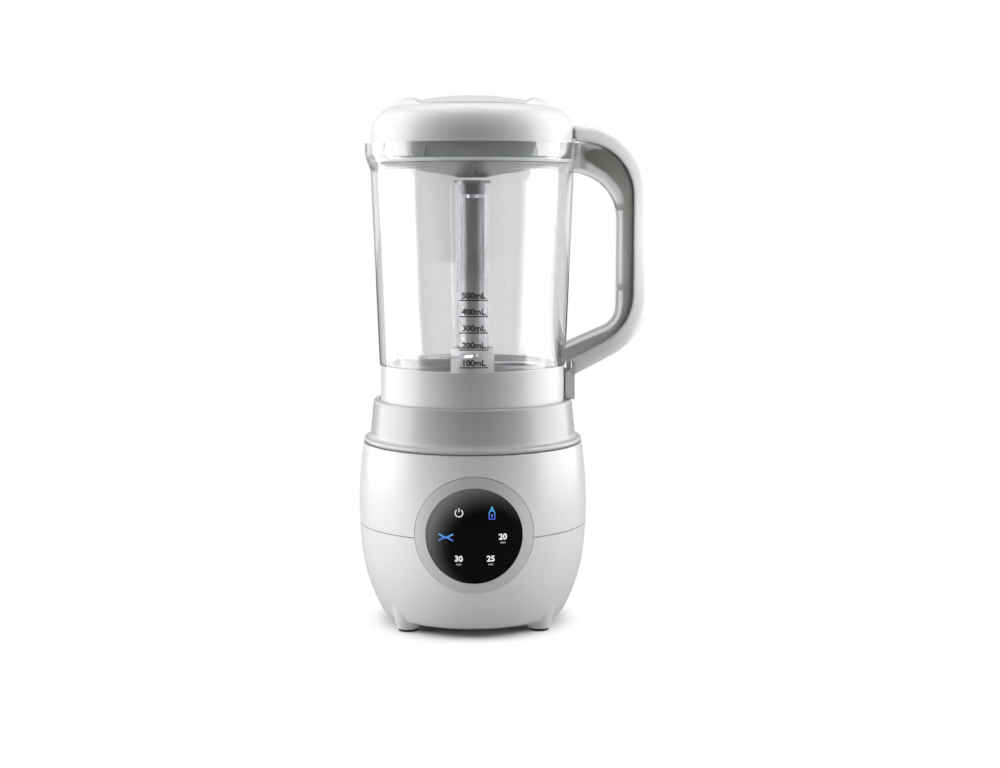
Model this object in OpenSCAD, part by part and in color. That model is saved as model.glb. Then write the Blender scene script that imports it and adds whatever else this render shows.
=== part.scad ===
// Baby food maker: a steam cooker and blender with a lift-off jug, a twist lid,
// a blade unit on a tall sleeve and a motor base with a round touch display.
// Millimetres, +Z up. The drive axis is upright; the front, with the display, faces -Y
// and the handle points along +X.

/* [Barrel] */
// Largest radius of the barrel-shaped base
barrel_r = 72.8; // [68:0.2:80]
// Height of the widest place of the barrel
barrel_wide_z = 76; // [70:1:84]
// Radius of the shallow arc that shapes the upper sides
upper_arc_r = 268; // [220:1:400]
// Radius of the tighter arc that draws the foot of the barrel in
lower_arc_r = 110; // [95:1:140]
// Height where the two side arcs meet
arc_join_z = 50; // [44:1:56]
// Height of the barrel's shoulder, under the docking collar
shoulder_z = 116.2; // [112:0.2:122]
// Thickness of the housing walls
housing_wall = 2.8; // [2:0.1:4]
// Height of the seam between the two housing halves
seam_z = 65; // [60:0.5:70]
// Height of the underside between the legs
underside_z = 6; // [4:0.5:8]
// Rounding of the barrel's bottom edge
bottom_edge_r = 5; // [3:0.5:8]

/* [Legs] */
// Angle of each leg from the left-right line
leg_angle = 38; // [36:1:46]
// Distance of a leg from the drive axis
leg_distance = 52.5; // [50:0.5:54]
// Radius of a leg at its foot
leg_foot_r = 7.5; // [7:0.5:9]
// Radius of a leg at its root inside the housing
leg_root_r = 12.5; // [10:0.5:14]
// Height of the leg's root
leg_root_z = 26; // [20:1:28]
// Radius of a rubber foot pad
pad_r = 6; // [4:0.5:6.5]
// Thickness of a rubber foot pad
pad_h = 2; // [1.5:0.1:3]

/* [Docking collar] */
// Height of the collar above the shoulder
collar_h = 26.8; // [24:0.2:30]
// Outer radius at the collar's top edge
collar_top_r = 63.2; // [62.4:0.2:65]
// Outer radius where the collar's slope ends above its lip
collar_low_r = 65.9; // [64:0.1:67]
// Outer radius of the lip at the collar's foot
collar_lip_r = 69.4; // [68:0.2:70]
// Height of the lip
collar_lip_h = 3; // [2:0.2:4]
// Depth of the recess that the jug stands in
dock_depth = 17.4; // [14:0.2:19]
// Thickness of the dock floor
dock_floor = 3; // [2:0.2:4]

/* [Display] */
// Height of the display's centre
display_z = 67.6; // [66:0.2:72]
// Outer radius of the silver bezel
bezel_r = 36.2; // [33:0.2:37]
// Radius of the black glass
glass_r = 29.4; // [26:0.2:31]
// How far the bezel stands out from the barrel
bezel_proud = 0.9; // [0.4:0.1:1.4]
// Thickness of the display glass
glass_t = 2.2; // [1.6:0.1:3]

/* [Drive] */
// Radius of the upright drive spindle
spindle_r = 3.5; // [3:0.1:4]
// Radius of the motor shaft
shaft_r = 4; // [3.5:0.1:5]
// Outer radius of the motor's stator
stator_r = 30; // [26:1:32]
// Radius of the rotor
rotor_r = 14.6; // [12:0.2:16]
// Height of the stator stack
stator_h = 48; // [40:1:50]
// Height of the stator's underside
stator_z = 22; // [20:1:24]
// Radius of the cooling fan
fan_r = 25; // [20:1:28]
// Across flats of the hexagonal drive head
hex_flats = 6; // [5:0.2:6.6]

/* [Steam] */
// Radius of the steam dish's water tray
dish_r = 34; // [30:0.5:35]
// Depth of the water tray
dish_depth = 8; // [6:0.5:9]
// Thickness of the dish's sheet
dish_wall = 1.2; // [0.8:0.1:2]
// Width of the dish's rim
dish_rim = 5.4; // [4:0.2:6]
// Height of the cast heating ring
heater_h = 6; // [4:0.5:7]

/* [Jug] */
// Height of the jug's inside floor above the dock floor
jug_floor_rise = 32; // [28:0.5:36]
// Thickness of the jug's floor
jug_floor_t = 3; // [2:0.2:4]
// Height of the skirt's top edge above the jug's inside floor
skirt_overlap = 7.6; // [6:0.2:10]
// Outer radius of the opaque skirt
skirt_r = 58.6; // [57.8:0.1:58.8]
// Thickness of the skirt
skirt_wall = 2.2; // [1.6:0.1:3]
// Outer radius of the jug just above the skirt
jug_low_r = 59.2; // [58.8:0.1:60]
// Outer radius of the jug just below its rim band
jug_high_r = 64; // [62.4:0.1:65]
// Thickness of the jug's wall
jug_wall = 2.6; // [2:0.1:3.2]
// Outer radius of the rim band
rim_r = 67.4; // [66.8:0.1:68.6]
// Thickness of the rim band
rim_wall = 2.4; // [2:0.1:2.8]
// Height of the jug's top edge above its inside floor
jug_height = 146.8; // [140:0.2:152]
// Height of the straight rim band
rim_band_h = 6; // [4:0.5:8]
// Height over which the jug widens to the rim band
rim_flare_h = 13; // [11:0.5:16]
// Outer radius of the central tube
tube_r = 7.6; // [7.2:0.1:8]
// Wall of the central tube
tube_wall = 1.6; // [1.2:0.1:2]

/* [Blade unit] */
// Outer radius of the clear blade sleeve
sleeve_r = 10.5; // [10:0.1:12]
// Wall of the blade sleeve
sleeve_wall = 2.2; // [1.6:0.1:2.4]
// Reach of the blades from the axis
blade_reach = 49; // [42:0.5:51]
// Thickness of a blade
blade_t = 1.6; // [1.2:0.1:2]
// Height of the lower blade above the jug's inside floor
blade_z = 4; // [3:0.5:6]
// Height between the two blades
blade_step = 9; // [7:0.5:12]

/* [Lid] */
// Outer radius of the lid
lid_r = 63.8; // [63:0.1:64.8]
// Height of the lid above the jug's top edge
lid_h = 30; // [26:0.5:34]
// Radius of the lid's rounded shoulder
lid_shoulder_r = 17; // [14:0.5:20]
// Radius of the sphere that domes the lid's top
lid_dome_r = 182; // [140:1:240]
// Thickness of the lid's shell
lid_wall = 2.4; // [1.8:0.1:3]
// Radius of the crescent grips' centre line
grip_ring_r = 40; // [38:0.5:41]
// Radius of a grip's round section
grip_r = 11; // [9:0.5:12]
// How far a grip stands out over the dome
grip_proud = 2.6; // [2:0.1:4]
// Distance from the middle of the lid to the inner side of a grip
grip_inner_x = 31; // [28:0.5:33]
// Radius of the hollow curve on the inner side of a grip
grip_hollow_r = 12; // [8:0.5:16]
// Depth of the lid's spigot inside the rim band
spigot_h = 12; // [10:0.5:13]
// How far the spray cone hangs below the spigot
cone_drop = 9.6; // [8:0.2:9.8]
// Turn that locks the lid, in degrees
lid_turn = 25; // [20:1:27]
// Angle that one bayonet lug spans
lug_span = 27; // [22:1:28]
// Angle of the first bayonet lug
lug_angle = -130; // [-136:1:-126]

/* [Handle] */
// Reach of the handle from the drive axis
handle_reach = 111.7; // [108:0.1:114]
// Width of the white handle cover
cover_w = 25; // [22:0.5:28]
// Thickness of the handle cover, from its face to the clear frame
cover_t = 10; // [9:0.25:11]
// Wall of the handle cover
cover_wall = 3; // [2:0.1:4]
// Rounding of the cover's outer edges
cover_edge_r = 5; // [3:0.25:6]
// Radius of the handle's upper bend
upper_bend_r = 44; // [40:0.5:45]
// Radius of the handle's lower bend
lower_bend_r = 44; // [40:0.5:45]
// Angle that the lower bend turns through
lower_bend_angle = 62; // [58:1:64]
// Height of the handle's top face above the jug's top edge
handle_rise = 11.2; // [10:0.2:12]
// Height of the centre of the lower bend above the jug's inside floor
lower_bend_rise = 52.4; // [50:0.2:54]
// Radius of the finger gap's upper curve
gap_upper_r = 30; // [28:0.5:31]
// Width of the handle measured from the finger gap to its outer face
handle_depth = 19.5; // [19:0.1:20.5]
// Radius of the finger gap's lower bend
gap_lower_r = 14; // [10:0.5:16]
// Height of the centre of the gap's lower bend above the jug's inside floor
gap_lower_rise = 44; // [42:0.5:46]
// Width of the clear handle frame
frame_w = 20; // [18:0.5:21]
// Wall of the clear handle frame
frame_wall = 2.2; // [1.6:0.1:2.4]

/* [Interlock] */
// Thickness of the slider plate
slider_t = 3; // [2:0.2:4]
// Travel of the slider when the lid locks
slider_travel = 3; // [2:0.1:3.4]
// Radius of the slider's tip and of the plunger in the collar
plunger_r = 1.2; // [1:0.05:1.3]
// Mean radius of the slider's spring
spring_r = 2.2; // [1.8:0.1:2.6]
// Radius of the spring's wire
spring_wire_r = 0.3; // [0.2:0.05:0.4]

/* [Cord inlet] */
// Height of the cord inlet
inlet_z = 40; // [36:1:46]
// Radius of the inlet's bore
inlet_bore_r = 3.6; // [3:0.1:4]

/* [Fits] */
// Gap between parts that stand clear of each other
clear = 0.3; // [0.2:0.05:0.4]
// Radial running clearance of a shaft in a bore
running = 0.05; // [0.02:0.01:0.08]
// Visible gap at the seams of the housing
seam_gap = 0.5; // [0.3:0.1:0.8]

/* [Hidden] */
$fn = 96;

shell_white = "#f1f1ee";
clear_plastic = [0.86, 0.89, 0.91, 0.35];
silver = "#b9bbbd";
steel = "#c9ccd0";
dark = "#26282b";
board_green = "#2f6b45";
rubber_grey = "#55585c";
silicone = "#dfe3e6";
copper = "#b87333";

big = 400;
// Overlap where two solids of one piece run into each other
weld = 0.05;
// Height of one band of the barrel's curve
band_step = 2.4;

// The origin is the middle of the footprint box, under the drive axis and the handle
axis_x = (barrel_r - handle_reach) / 2;

// Barrel arcs, tangent where they meet
join_angle = asin((barrel_wide_z - arc_join_z) / upper_arc_r);
upper_arc_x = barrel_r - upper_arc_r;
lower_arc_x = upper_arc_x + (upper_arc_r - lower_arc_r) * cos(join_angle);
lower_arc_z = barrel_wide_z - (upper_arc_r - lower_arc_r) * sin(join_angle);
edge_z = underside_z + bottom_edge_r;
edge_x = lower_arc_x + sqrt(pow(lower_arc_r - bottom_edge_r, 2) - pow(edge_z - lower_arc_z, 2));

// Levels from the table up
collar_z = shoulder_z + seam_gap;
collar_top_z = collar_z + collar_h;
dock_z = collar_top_z - dock_depth;
dock_r = skirt_r + 2 * clear;
dish_rim_r = dish_r + dish_rim;
dish_top_z = dock_z + dish_wall;
dish_floor_z = dock_z - dish_depth;
heater_z = dish_floor_z - heater_h;
jug_floor_z = dock_z + jug_floor_rise;
jug_under_z = jug_floor_z - jug_floor_t;
skirt_top_z = jug_floor_z + skirt_overlap;
jug_top_z = jug_floor_z + jug_height;
band_z = jug_top_z - rim_band_h;
flare_z = band_z - rim_flare_h;
spigot_z = jug_top_z - spigot_h;
lid_z = jug_top_z - 0.2;
cone_tip_z = spigot_z - cone_drop;
stator_top_z = stator_z + stator_h;
shaft_top_z = stator_top_z + 20;
sleeve_top_z = cone_tip_z - 1.6;
tip_z = collar_top_z + 0.6;

// Barrel radius at a height, for a surface drawn in by inset
function barrel_at(z, inset = 0) = z > arc_join_z
    ? upper_arc_x + sqrt(pow(upper_arc_r - inset, 2) - pow(z - barrel_wide_z, 2))
    : lower_arc_x + sqrt(pow(lower_arc_r - inset, 2) - pow(z - lower_arc_z, 2));
function polar(r, a) = [r * cos(a), r * sin(a)];

module on_axis() translate([axis_x, 0, 0]) children();

module ring(r_out, r_in, z_low, z_high)
    rotate_extrude() translate([r_in, z_low]) square([r_out - r_in, z_high - z_low]);

// Part of a ring that spans an angle about its middle direction
module ring_sector(r_out, r_in, z_low, z_high, middle, span)
    rotate([0, 0, middle - span / 2]) rotate_extrude(angle = span)
        translate([r_in, z_low]) square([r_out - r_in, z_high - z_low]);

module cylinder_y(r, y_low, y_high, x = 0, z = 0)
    translate([x, y_high, z]) rotate([90, 0, 0]) cylinder(r = r, h = y_high - y_low);

// ---------------------------------------------------------------- housing

// Half section of the barrel between two heights, drawn in by inset
module barrel_section(inset, z_low, z_high) {
    steps = ceil((z_high - z_low) / band_step);
    polygon(concat([[0, z_low]],
        [for (i = [0 : steps]) let (z = z_low + (z_high - z_low) * i / steps) [barrel_at(z, inset), z]],
        [[0, z_high]]));
}

module barrel_solid(inset, z_low, z_high)
    rotate_extrude() barrel_section(inset, z_low, z_high);

// The barrel's two side arcs as true arcs, drawn in by inset
module barrel_arcs(inset) {
    intersection() {
        translate([upper_arc_x, barrel_wide_z]) circle(upper_arc_r - inset, $fn = 360);
        translate([0, arc_join_z]) square([big, big]);
    }
    intersection() {
        translate([lower_arc_x, lower_arc_z]) circle(lower_arc_r - inset, $fn = 240);
        translate([0, arc_join_z - big]) square([big, big]);
    }
}

// Curved sheet that follows the barrel between two insets and two heights
module barrel_sheet(outer_inset, inner_inset, z_low, z_high) rotate_extrude() intersection() {
    difference() {
        barrel_arcs(outer_inset);
        barrel_arcs(inner_inset);
    }
    translate([0, z_low]) square([big, z_high - z_low]);
}

// Angle from the lower arc's centre to the centre of the bottom edge's rounding
edge_angle = atan2(edge_z - lower_arc_z, edge_x - lower_arc_x);
edge_join_z = edge_z + bottom_edge_r * sin(edge_angle);
edge_steps = 8;

// Outer half section of the lower housing: rounded bottom edge, then the barrel's curve
module lower_outer_section() {
    top = seam_z - seam_gap / 2;
    steps = ceil((top - edge_join_z) / band_step);
    polygon(concat([[0, underside_z]],
        [for (i = [0 : edge_steps - 1]) let (a = -90 + (90 + edge_angle) * i / edge_steps)
            [edge_x, edge_z] + bottom_edge_r * [cos(a), sin(a)]],
        [for (i = [0 : steps]) let (z = edge_join_z + (top - edge_join_z) * i / steps) [barrel_at(z), z]],
        [[0, top]]));
}

cover_margin = 6;
cover_r = leg_distance - leg_foot_r - cover_margin;
cover_h = 2.4;
tongue_root = 8;
tongue_rise = 3;
tongue_t = 3;
floor_top_z = underside_z + cover_h;
ear_h = 2.6;
ear_reach = 8;
cover_screw_r = 1.5;
cover_screw_at = cover_r - ear_reach / 2;
mount_post_r = 4.5;
mount_post_at = 50;
mount_post_angles = [30, 150, 210, 330];
mount_screw_r = 1.6;
board_depth = 28.8;
board_y = barrel_r - board_depth;
board_t = 1.6;
board_half = 24;
board_h = 50;
rail_w = 4;
rail_d = 6;
rail_h = 30;

module at_legs()
    for (a = [leg_angle, 180 - leg_angle, 180 + leg_angle, -leg_angle])
        translate(polar(leg_distance, a)) children();

module at_cover_screws()
    for (a = [0, 90, 180, 270]) translate(polar(cover_screw_at, a)) children();

module at_mount_posts()
    for (a = mount_post_angles) translate(polar(mount_post_at, a)) children();

module display_cutout() cylinder_y(bezel_r + clear, -big, 0, z = display_z);

module inlet_cutout() {
    cylinder_y(gland_r + clear / 2, 0, big, z = inlet_z);
    cylinder_y(gland_flange_r + clear, gland_face_y - gland_flange_t - clear / 2, big, z = inlet_z);
}

module lower_housing() color(shell_white) on_axis() difference() {
    union() {
        difference() {
            union() {
                rotate_extrude() lower_outer_section();
                // Legs that stand out from the barrel and run into its sides
                at_legs() translate([0, 0, pad_h])
                    cylinder(r1 = leg_foot_r, r2 = leg_root_r, h = leg_root_z - pad_h);
            }
            barrel_solid(housing_wall, floor_top_z, seam_z);
        }
        // Tongue that locates the upper half, rooted in the wall below the seam
        difference() {
            union() {
                barrel_solid(housing_wall - 0.4, seam_z - tongue_root, seam_z - 1);
                barrel_solid(housing_wall + clear, seam_z - tongue_root, seam_z + tongue_rise);
            }
            cylinder(r = barrel_r - housing_wall - tongue_t, h = big);
        }
        // Ears for the bottom cover's screws
        for (a = [0, 90, 180, 270]) {
            ring_sector(cover_r + 4, cover_r - ear_reach, floor_top_z, floor_top_z + ear_h, a, 16);
            ring_sector(cover_r + 4, cover_r + 1, floor_top_z - 1, floor_top_z + ear_h, a, 16);
        }
        // Posts that carry the motor mount
        intersection() {
            barrel_solid(housing_wall, underside_z + 1, stator_top_z);
            at_mount_posts() translate([0, 0, underside_z + 1])
                cylinder(r = mount_post_r, h = stator_top_z - underside_z - 1);
        }
        // Slotted rails for the power board
        for (side = [-1, 1])
            translate([side * (board_half + rail_w / 2 - 1.4) - rail_w / 2,
                board_y + board_t / 2 - rail_d / 2, floor_top_z - 1])
                cube([rail_w, rail_d, rail_h]);
    }
    // Opening for the bottom cover
    translate([0, 0, -1]) cylinder(r = cover_r + clear, h = floor_top_z + 1);
    at_cover_screws() cylinder(r = cover_screw_r + running, h = floor_top_z + ear_h + 1);
    at_legs() translate([0, 0, pad_h - 1]) cylinder(r = pad_stem_r + running, h = pad_stem_h + 1.2);
    at_mount_posts() translate([0, 0, stator_top_z - 10])
        cylinder(r = mount_screw_r + running, h = 11);
    translate([-board_half - clear, board_y - clear / 2, floor_top_z])
        cube([2 * (board_half + clear), board_t + clear, rail_h + 5]);
    display_cutout();
    inlet_cutout();
}

flange_t = 2.8;
flange_r = 57.4;

module upper_housing() color(shell_white) on_axis() difference() {
    union() {
        difference() {
            barrel_solid(0, seam_z + seam_gap / 2, shoulder_z);
            barrel_solid(housing_wall, seam_z - 1, shoulder_z - flange_t);
            cylinder(r = flange_r, h = big);
        }
    }
    display_cutout();
    inlet_cutout();
    translate([plunger_x, 0, shoulder_z - flange_t - 1])
        cylinder(r = plunger_r + 2 * clear, h = flange_t + 2);
}

collar_wall = 3;
collar_edge_r = 1.6;
cove_r = 3;
collar_spigot_r = flange_r - clear;
collar_spigot_h = 7;
dish_seat_r = dish_r + 1.6;
plunger_x = (dock_r + collar_top_r) / 2;
plunger_counterbore_r = plunger_r + 0.4;
plunger_counterbore_h = 5;
pocket_h = 3.4;
pocket_span = 9;
plunger_top_z = collar_top_z - 1.4;

// Half section of the collar: sloped wall, coved foot with a lip, rounded top edge
module collar_section() {
    slope = (collar_low_r - collar_top_r) / collar_h;
    difference() {
        union() {
            polygon([[dock_r, collar_z], [collar_low_r, collar_z],
                [collar_top_r + slope * collar_edge_r, collar_top_z - collar_edge_r],
                [collar_top_r - collar_edge_r, collar_top_z - collar_edge_r],
                [collar_top_r - collar_edge_r, collar_top_z], [dock_r, collar_top_z]]);
            translate([collar_top_r - collar_edge_r + slope * collar_edge_r,
                collar_top_z - collar_edge_r]) circle(collar_edge_r);
            translate([dock_r, collar_z])
                square([collar_lip_r - dock_r - collar_lip_h / 2, collar_lip_h]);
            translate([collar_lip_r - collar_lip_h / 2, collar_z + collar_lip_h / 2])
                circle(collar_lip_h / 2);
            translate([dock_r, collar_z + collar_lip_h / 2])
                square([collar_low_r + cove_r - dock_r - 0.6, collar_lip_h / 2 + cove_r]);
        }
        translate([collar_low_r + cove_r - 0.6, collar_z + collar_lip_h + cove_r]) circle(cove_r);
    }
}

module docking_collar() color(shell_white) on_axis() difference() {
    union() {
        difference() {
            rotate_extrude() collar_section();
            // Hollow under the dock floor
            translate([0, 0, collar_z - 1])
                cylinder(r = collar_low_r - collar_wall, h = dock_z - dock_floor - collar_z + 1);
        }
        ring(dock_r + 1, dish_seat_r, dock_z - dock_floor, dock_z);
        ring(collar_spigot_r, collar_spigot_r - collar_wall, collar_z - collar_spigot_h,
            dock_z - dock_floor + 0.5);
        ring_sector(collar_low_r - 1, dock_r - 1, collar_z, dock_z - dock_floor + 1, 0, 12);
        // Inner rim that rests on the housing's shoulder
        ring(collar_low_r - collar_wall + 1, collar_low_r - collar_wall - 1, shoulder_z, collar_z + 1);
    }
    translate([plunger_x, 0, 0]) cylinder(r = plunger_r + running, h = big);
    translate([plunger_x, 0, collar_top_z - plunger_counterbore_h])
        cylinder(r = plunger_counterbore_r, h = big);
    // Pocket in the inner edge, where the slider's tip meets the plunger
    ring_sector(plunger_x + 0.2, dock_r - 0.5, collar_top_z - pocket_h, collar_top_z + 1, 0, pocket_span);
}

vent_count = 9;

module bottom_cover() color(dark) on_axis() difference() {
    translate([0, 0, underside_z]) cylinder(r = cover_r, h = cover_h);
    at_cover_screws() {
        cylinder(r = cover_screw_r + 0.2, h = big);
        cylinder(r = 2 * cover_screw_r + clear, h = underside_z + 1.6);
    }
    for (i = [0 : vent_count - 1]) {
        y = (i - (vent_count - 1) / 2) * 5;
        half = sqrt(pow(fan_r, 2) - pow(y, 2)) - 2;
        translate([-half, y - 1.1, underside_z - 1]) cube([2 * half, 2.2, cover_h + 2]);
    }
}

pad_stem_r = 2;
pad_stem_h = 4;

module rubber_feet() color(rubber_grey) on_axis() at_legs() {
    cylinder(r = pad_r, h = pad_h);
    cylinder(r = pad_stem_r, h = pad_h + pad_stem_h);
}

module cover_screws() color(steel) on_axis() at_cover_screws() {
    translate([0, 0, underside_z + 0.1]) cylinder(r = 2 * cover_screw_r, h = 1.5);
    translate([0, 0, underside_z + 0.1]) cylinder(r = cover_screw_r, h = cover_h + ear_h - 0.4);
}

// ---------------------------------------------------------------- display

glass_proud = bezel_proud / 3;
bezel_t = 3.2;
bezel_sleeve_depth = 14.8;
bezel_sleeve_y = bezel_sleeve_depth - barrel_r;
bezel_sleeve_wall = 2;
bezel_sleeve_r = bezel_r - 2.2;

module display_bezel() color(silver) on_axis() {
    intersection() {
        barrel_sheet(-bezel_proud, bezel_t - bezel_proud, display_z - bezel_r - 1,
            display_z + bezel_r + 1);
        difference() {
            cylinder_y(bezel_r, -big, 0, z = display_z);
            cylinder_y(glass_r + clear / 2, -big, 1, z = display_z);
        }
    }
    // Sleeve behind the ring that holds the display board
    intersection() {
        barrel_sheet(bezel_t / 2, barrel_r, display_z - bezel_r - 2, display_z + bezel_r + 2);
        difference() {
            cylinder_y(bezel_sleeve_r, -big, bezel_sleeve_y, z = display_z);
            cylinder_y(bezel_sleeve_r - bezel_sleeve_wall, -big, bezel_sleeve_y + 1, z = display_z);
        }
    }
}

// The glass is curved both ways, like the barrel's upper sides
module display_glass() color("#101214") on_axis() intersection() {
    rotate_extrude() intersection() {
        translate([upper_arc_x, barrel_wide_z]) difference() {
            circle(upper_arc_r + glass_proud, $fn = 360);
            circle(upper_arc_r + glass_proud - glass_t, $fn = 360);
        }
        translate([0, display_z - glass_r - 1]) square([big, 2 * glass_r + 2]);
    }
    cylinder_y(glass_r, -big, 0, z = display_z);
}

led_count = 6;
led_ring_r = 17;
led_r = 3;
led_l = 5.5;
board_step = 3;
chip_w = 10;
chip_t = 2.4;
socket_w = 14;
socket_h = 6;
socket_t = 5;

module display_board() color(board_green) on_axis() {
    board_r = bezel_sleeve_r - bezel_sleeve_wall - running;
    front_y = bezel_sleeve_y - board_step;
    back_y = front_y + board_t - 0.6;
    cylinder_y(board_r, front_y, front_y + board_t, z = display_z);
    // Touch sensors and lamps that reach the back of the glass
    for (i = [0 : led_count - 1]) {
        at = polar(led_ring_r, i * 360 / led_count);
        cylinder_y(led_r, front_y + 0.5 - led_l, front_y + 0.5, x = at[0], z = display_z + at[1]);
    }
    // Controller chip and plug socket
    translate([-chip_w / 2, back_y, display_z - chip_w / 2]) cube([chip_w, chip_t, chip_w]);
    translate([-socket_w / 2, back_y, display_z - led_ring_r - socket_h / 4])
        cube([socket_w, socket_t, socket_h]);
}

// ---------------------------------------------------------------- steam

chimney_r = 9;
chimney_wall = 1.2;
chimney_top_z = dish_top_z + 1;

module steam_dish() color(steel) on_axis() rotate_extrude() {
    translate([chimney_r, dish_floor_z]) square([dish_r - chimney_r, dish_wall]);
    translate([dish_r - dish_wall, dish_floor_z]) square([dish_wall, dish_depth + dish_wall]);
    translate([dish_r - dish_wall, dock_z]) square([dish_rim + dish_wall, dish_wall]);
    translate([chimney_r - chimney_wall, dish_floor_z])
        square([chimney_wall + 0.2, chimney_top_z - dish_floor_z]);
}

heater_in_r = 14;
heater_tube_r = 3;

module heating_ring() color("#a9abad") on_axis() {
    ring(dish_r - 3, heater_in_r, heater_z + heater_tube_r, dish_floor_z);
    rotate_extrude() translate([(dish_r + heater_in_r) / 2 + 1, heater_z + heater_tube_r])
        circle(heater_tube_r);
}

thermostat_r = 6.5;
thermostat_x = -(dish_r + heater_in_r) / 2;

module thermostat() color(steel) on_axis() difference() {
    translate([thermostat_x, 0, heater_z - 6])
        cylinder(r = thermostat_r, h = 9);
    rotate_extrude() translate([(dish_r + heater_in_r) / 2 + 1, heater_z + heater_tube_r])
        circle(heater_tube_r + 0.05);
}

bush_flange_r = 11;
bush_flange_h = 2;
bush_low_z = heater_z - 4;

module spindle_bush() color("#a8854a") on_axis() difference() {
    union() {
        translate([0, 0, bush_low_z])
            cylinder(r = chimney_r - chimney_wall - running, h = chimney_top_z - 1 - bush_low_z);
        translate([0, 0, dish_floor_z - bush_flange_h - 0.1])
            cylinder(r = bush_flange_r, h = bush_flange_h);
    }
    cylinder(r = spindle_r + running, h = big);
}

// ---------------------------------------------------------------- motor

module motor_stator() color("#8f9296") on_axis() {
    difference() {
        translate([0, 0, stator_z]) cylinder(r = stator_r, h = stator_h);
        translate([0, 0, stator_z - 1]) cylinder(r = rotor_r + 0.6, h = stator_h + 2);
        // Windows between the iron poles, where the windings show
        for (a = [45 : 90 : 315]) rotate([0, 0, a])
            translate([rotor_r + 4, -5, stator_z + 8]) cube([stator_r, 10, stator_h - 16]);
    }
}

mount_t = 4;
mount_hub_r = 12;
mount_arm_w = 7;

module motor_mount() color(steel) on_axis() difference() {
    union() {
        translate([0, 0, stator_top_z]) cylinder(r = stator_r + 2, h = mount_t);
        for (a = mount_post_angles) rotate([0, 0, a])
            translate([0, -mount_arm_w / 2, stator_top_z]) cube([mount_post_at, mount_arm_w, mount_t]);
        at_mount_posts() translate([0, 0, stator_top_z]) cylinder(r = mount_post_r, h = mount_t);
        translate([0, 0, stator_top_z - 3]) cylinder(r = mount_hub_r, h = mount_t + 5);
    }
    cylinder(r = shaft_r + running, h = big);
    at_mount_posts() cylinder(r = mount_screw_r + 0.2, h = big);
}

bracket_h = 3;

module motor_bracket() color(steel) on_axis() difference() {
    union() {
        translate([0, 0, stator_z - bracket_h]) cylinder(r = mount_hub_r, h = bracket_h + 2);
        for (a = [0, 90, 180, 270]) rotate([0, 0, a])
            translate([0, -4, stator_z - bracket_h]) cube([stator_r - 1, 8, bracket_h]);
        ring(stator_r, stator_r - 4, stator_z - bracket_h, stator_z);
    }
    cylinder(r = shaft_r + running, h = big);
}

module motor_screws() color(steel) on_axis() at_mount_posts() {
    translate([0, 0, stator_top_z + mount_t]) cylinder(r = 3, h = 2);
    translate([0, 0, stator_top_z - 8]) cylinder(r = mount_screw_r, h = 8 + mount_t + 1);
}

module motor_rotor() color(copper) on_axis() {
    translate([0, 0, stator_z + 4]) cylinder(r = rotor_r, h = stator_h - 8);
    translate([0, 0, floor_top_z + 2]) cylinder(r = shaft_r, h = shaft_top_z - floor_top_z - 2);
}

fan_h = 6;
fan_z = stator_z - bracket_h - fan_h - 1;
fan_hub_r = 7;
fan_blades = 9;

module cooling_fan() color("#3a3d40") on_axis() difference() {
    union() {
        translate([0, 0, fan_z]) cylinder(r = fan_hub_r, h = fan_h);
        translate([0, 0, fan_z]) cylinder(r = fan_r, h = 1.2);
        for (i = [0 : fan_blades - 1]) rotate([0, 0, i * 360 / fan_blades])
            translate([fan_hub_r - 1, -0.6, fan_z]) cube([fan_r - fan_hub_r, 1.2, fan_h]);
    }
    cylinder(r = shaft_r + running / 2, h = big);
}

coupling_r = 8;
coupling_z = shaft_top_z - 12;
coupling_h = 24;

module spindle_coupling() color(silver) on_axis() difference() {
    translate([0, 0, coupling_z]) cylinder(r = coupling_r, h = coupling_h);
    translate([0, 0, coupling_z - 1]) cylinder(r = shaft_r + running / 2, h = shaft_top_z + 1 - coupling_z + 0.2);
    cylinder(r = spindle_r + running / 2, h = big);
}

hex_h = 8;
hex_top_z = sleeve_top_z - 3;

module drive_spindle() color(steel) on_axis() {
    translate([0, 0, shaft_top_z + 0.5]) cylinder(r = spindle_r, h = hex_top_z - hex_h - shaft_top_z);
    translate([0, 0, hex_top_z - hex_h]) cylinder(r = hex_flats / 2 / cos(30), h = hex_h, $fn = 6);
}

// ---------------------------------------------------------------- electronics

module power_board() color(board_green) on_axis()
    translate([-board_half, board_y, floor_top_z + 0.5]) cube([2 * board_half, board_t, board_h]);

choke_w = 16;
choke_t = 9;
choke_h = 18;
can_r = 5;
can_l = 11;
relay_w = 12;
relay_t = 6;
relay_h = 8;
sink_w = 5;
sink_t = 8;
sink_h = 30;

// Choke, two capacitors, a relay and a heat sink, soldered to the power board
module board_parts() color(dark) on_axis() translate([0, 0, floor_top_z]) {
    back = board_y + board_t;
    translate([-choke_w - 2, back, choke_h - 2]) cube([choke_w, choke_t, choke_h]);
    for (i = [0, 1])
        cylinder_y(can_r, back, back + can_l, x = 2 * can_r, z = (2 + 2.6 * i) * can_r);
    translate([relay_w / 3, back, board_h - 2 * relay_h + 1.6]) cube([relay_w, relay_t, relay_h]);
    translate([-choke_w, board_y - sink_t, sink_w]) cube([sink_w, sink_t, sink_h]);
}

switch_w = 7;
switch_l = 16;
switch_h = 11;
switch_post_h = 2;
switch_top_z = shoulder_z - flange_t - switch_post_h;

// Snap switch under the shoulder, hung from two posts beside the plunger
module interlock_switch() color(dark) on_axis() translate([plunger_x - switch_w / 2, 0, 0]) {
    translate([0, -switch_l / 2, switch_top_z - switch_h]) cube([switch_w, switch_l, switch_h]);
    for (side = [-1, 1]) translate([0, side * (switch_l / 2 - 1.5) - 1.5, switch_top_z - 1])
        cube([switch_w, 3, switch_post_h + 1]);
}

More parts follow.
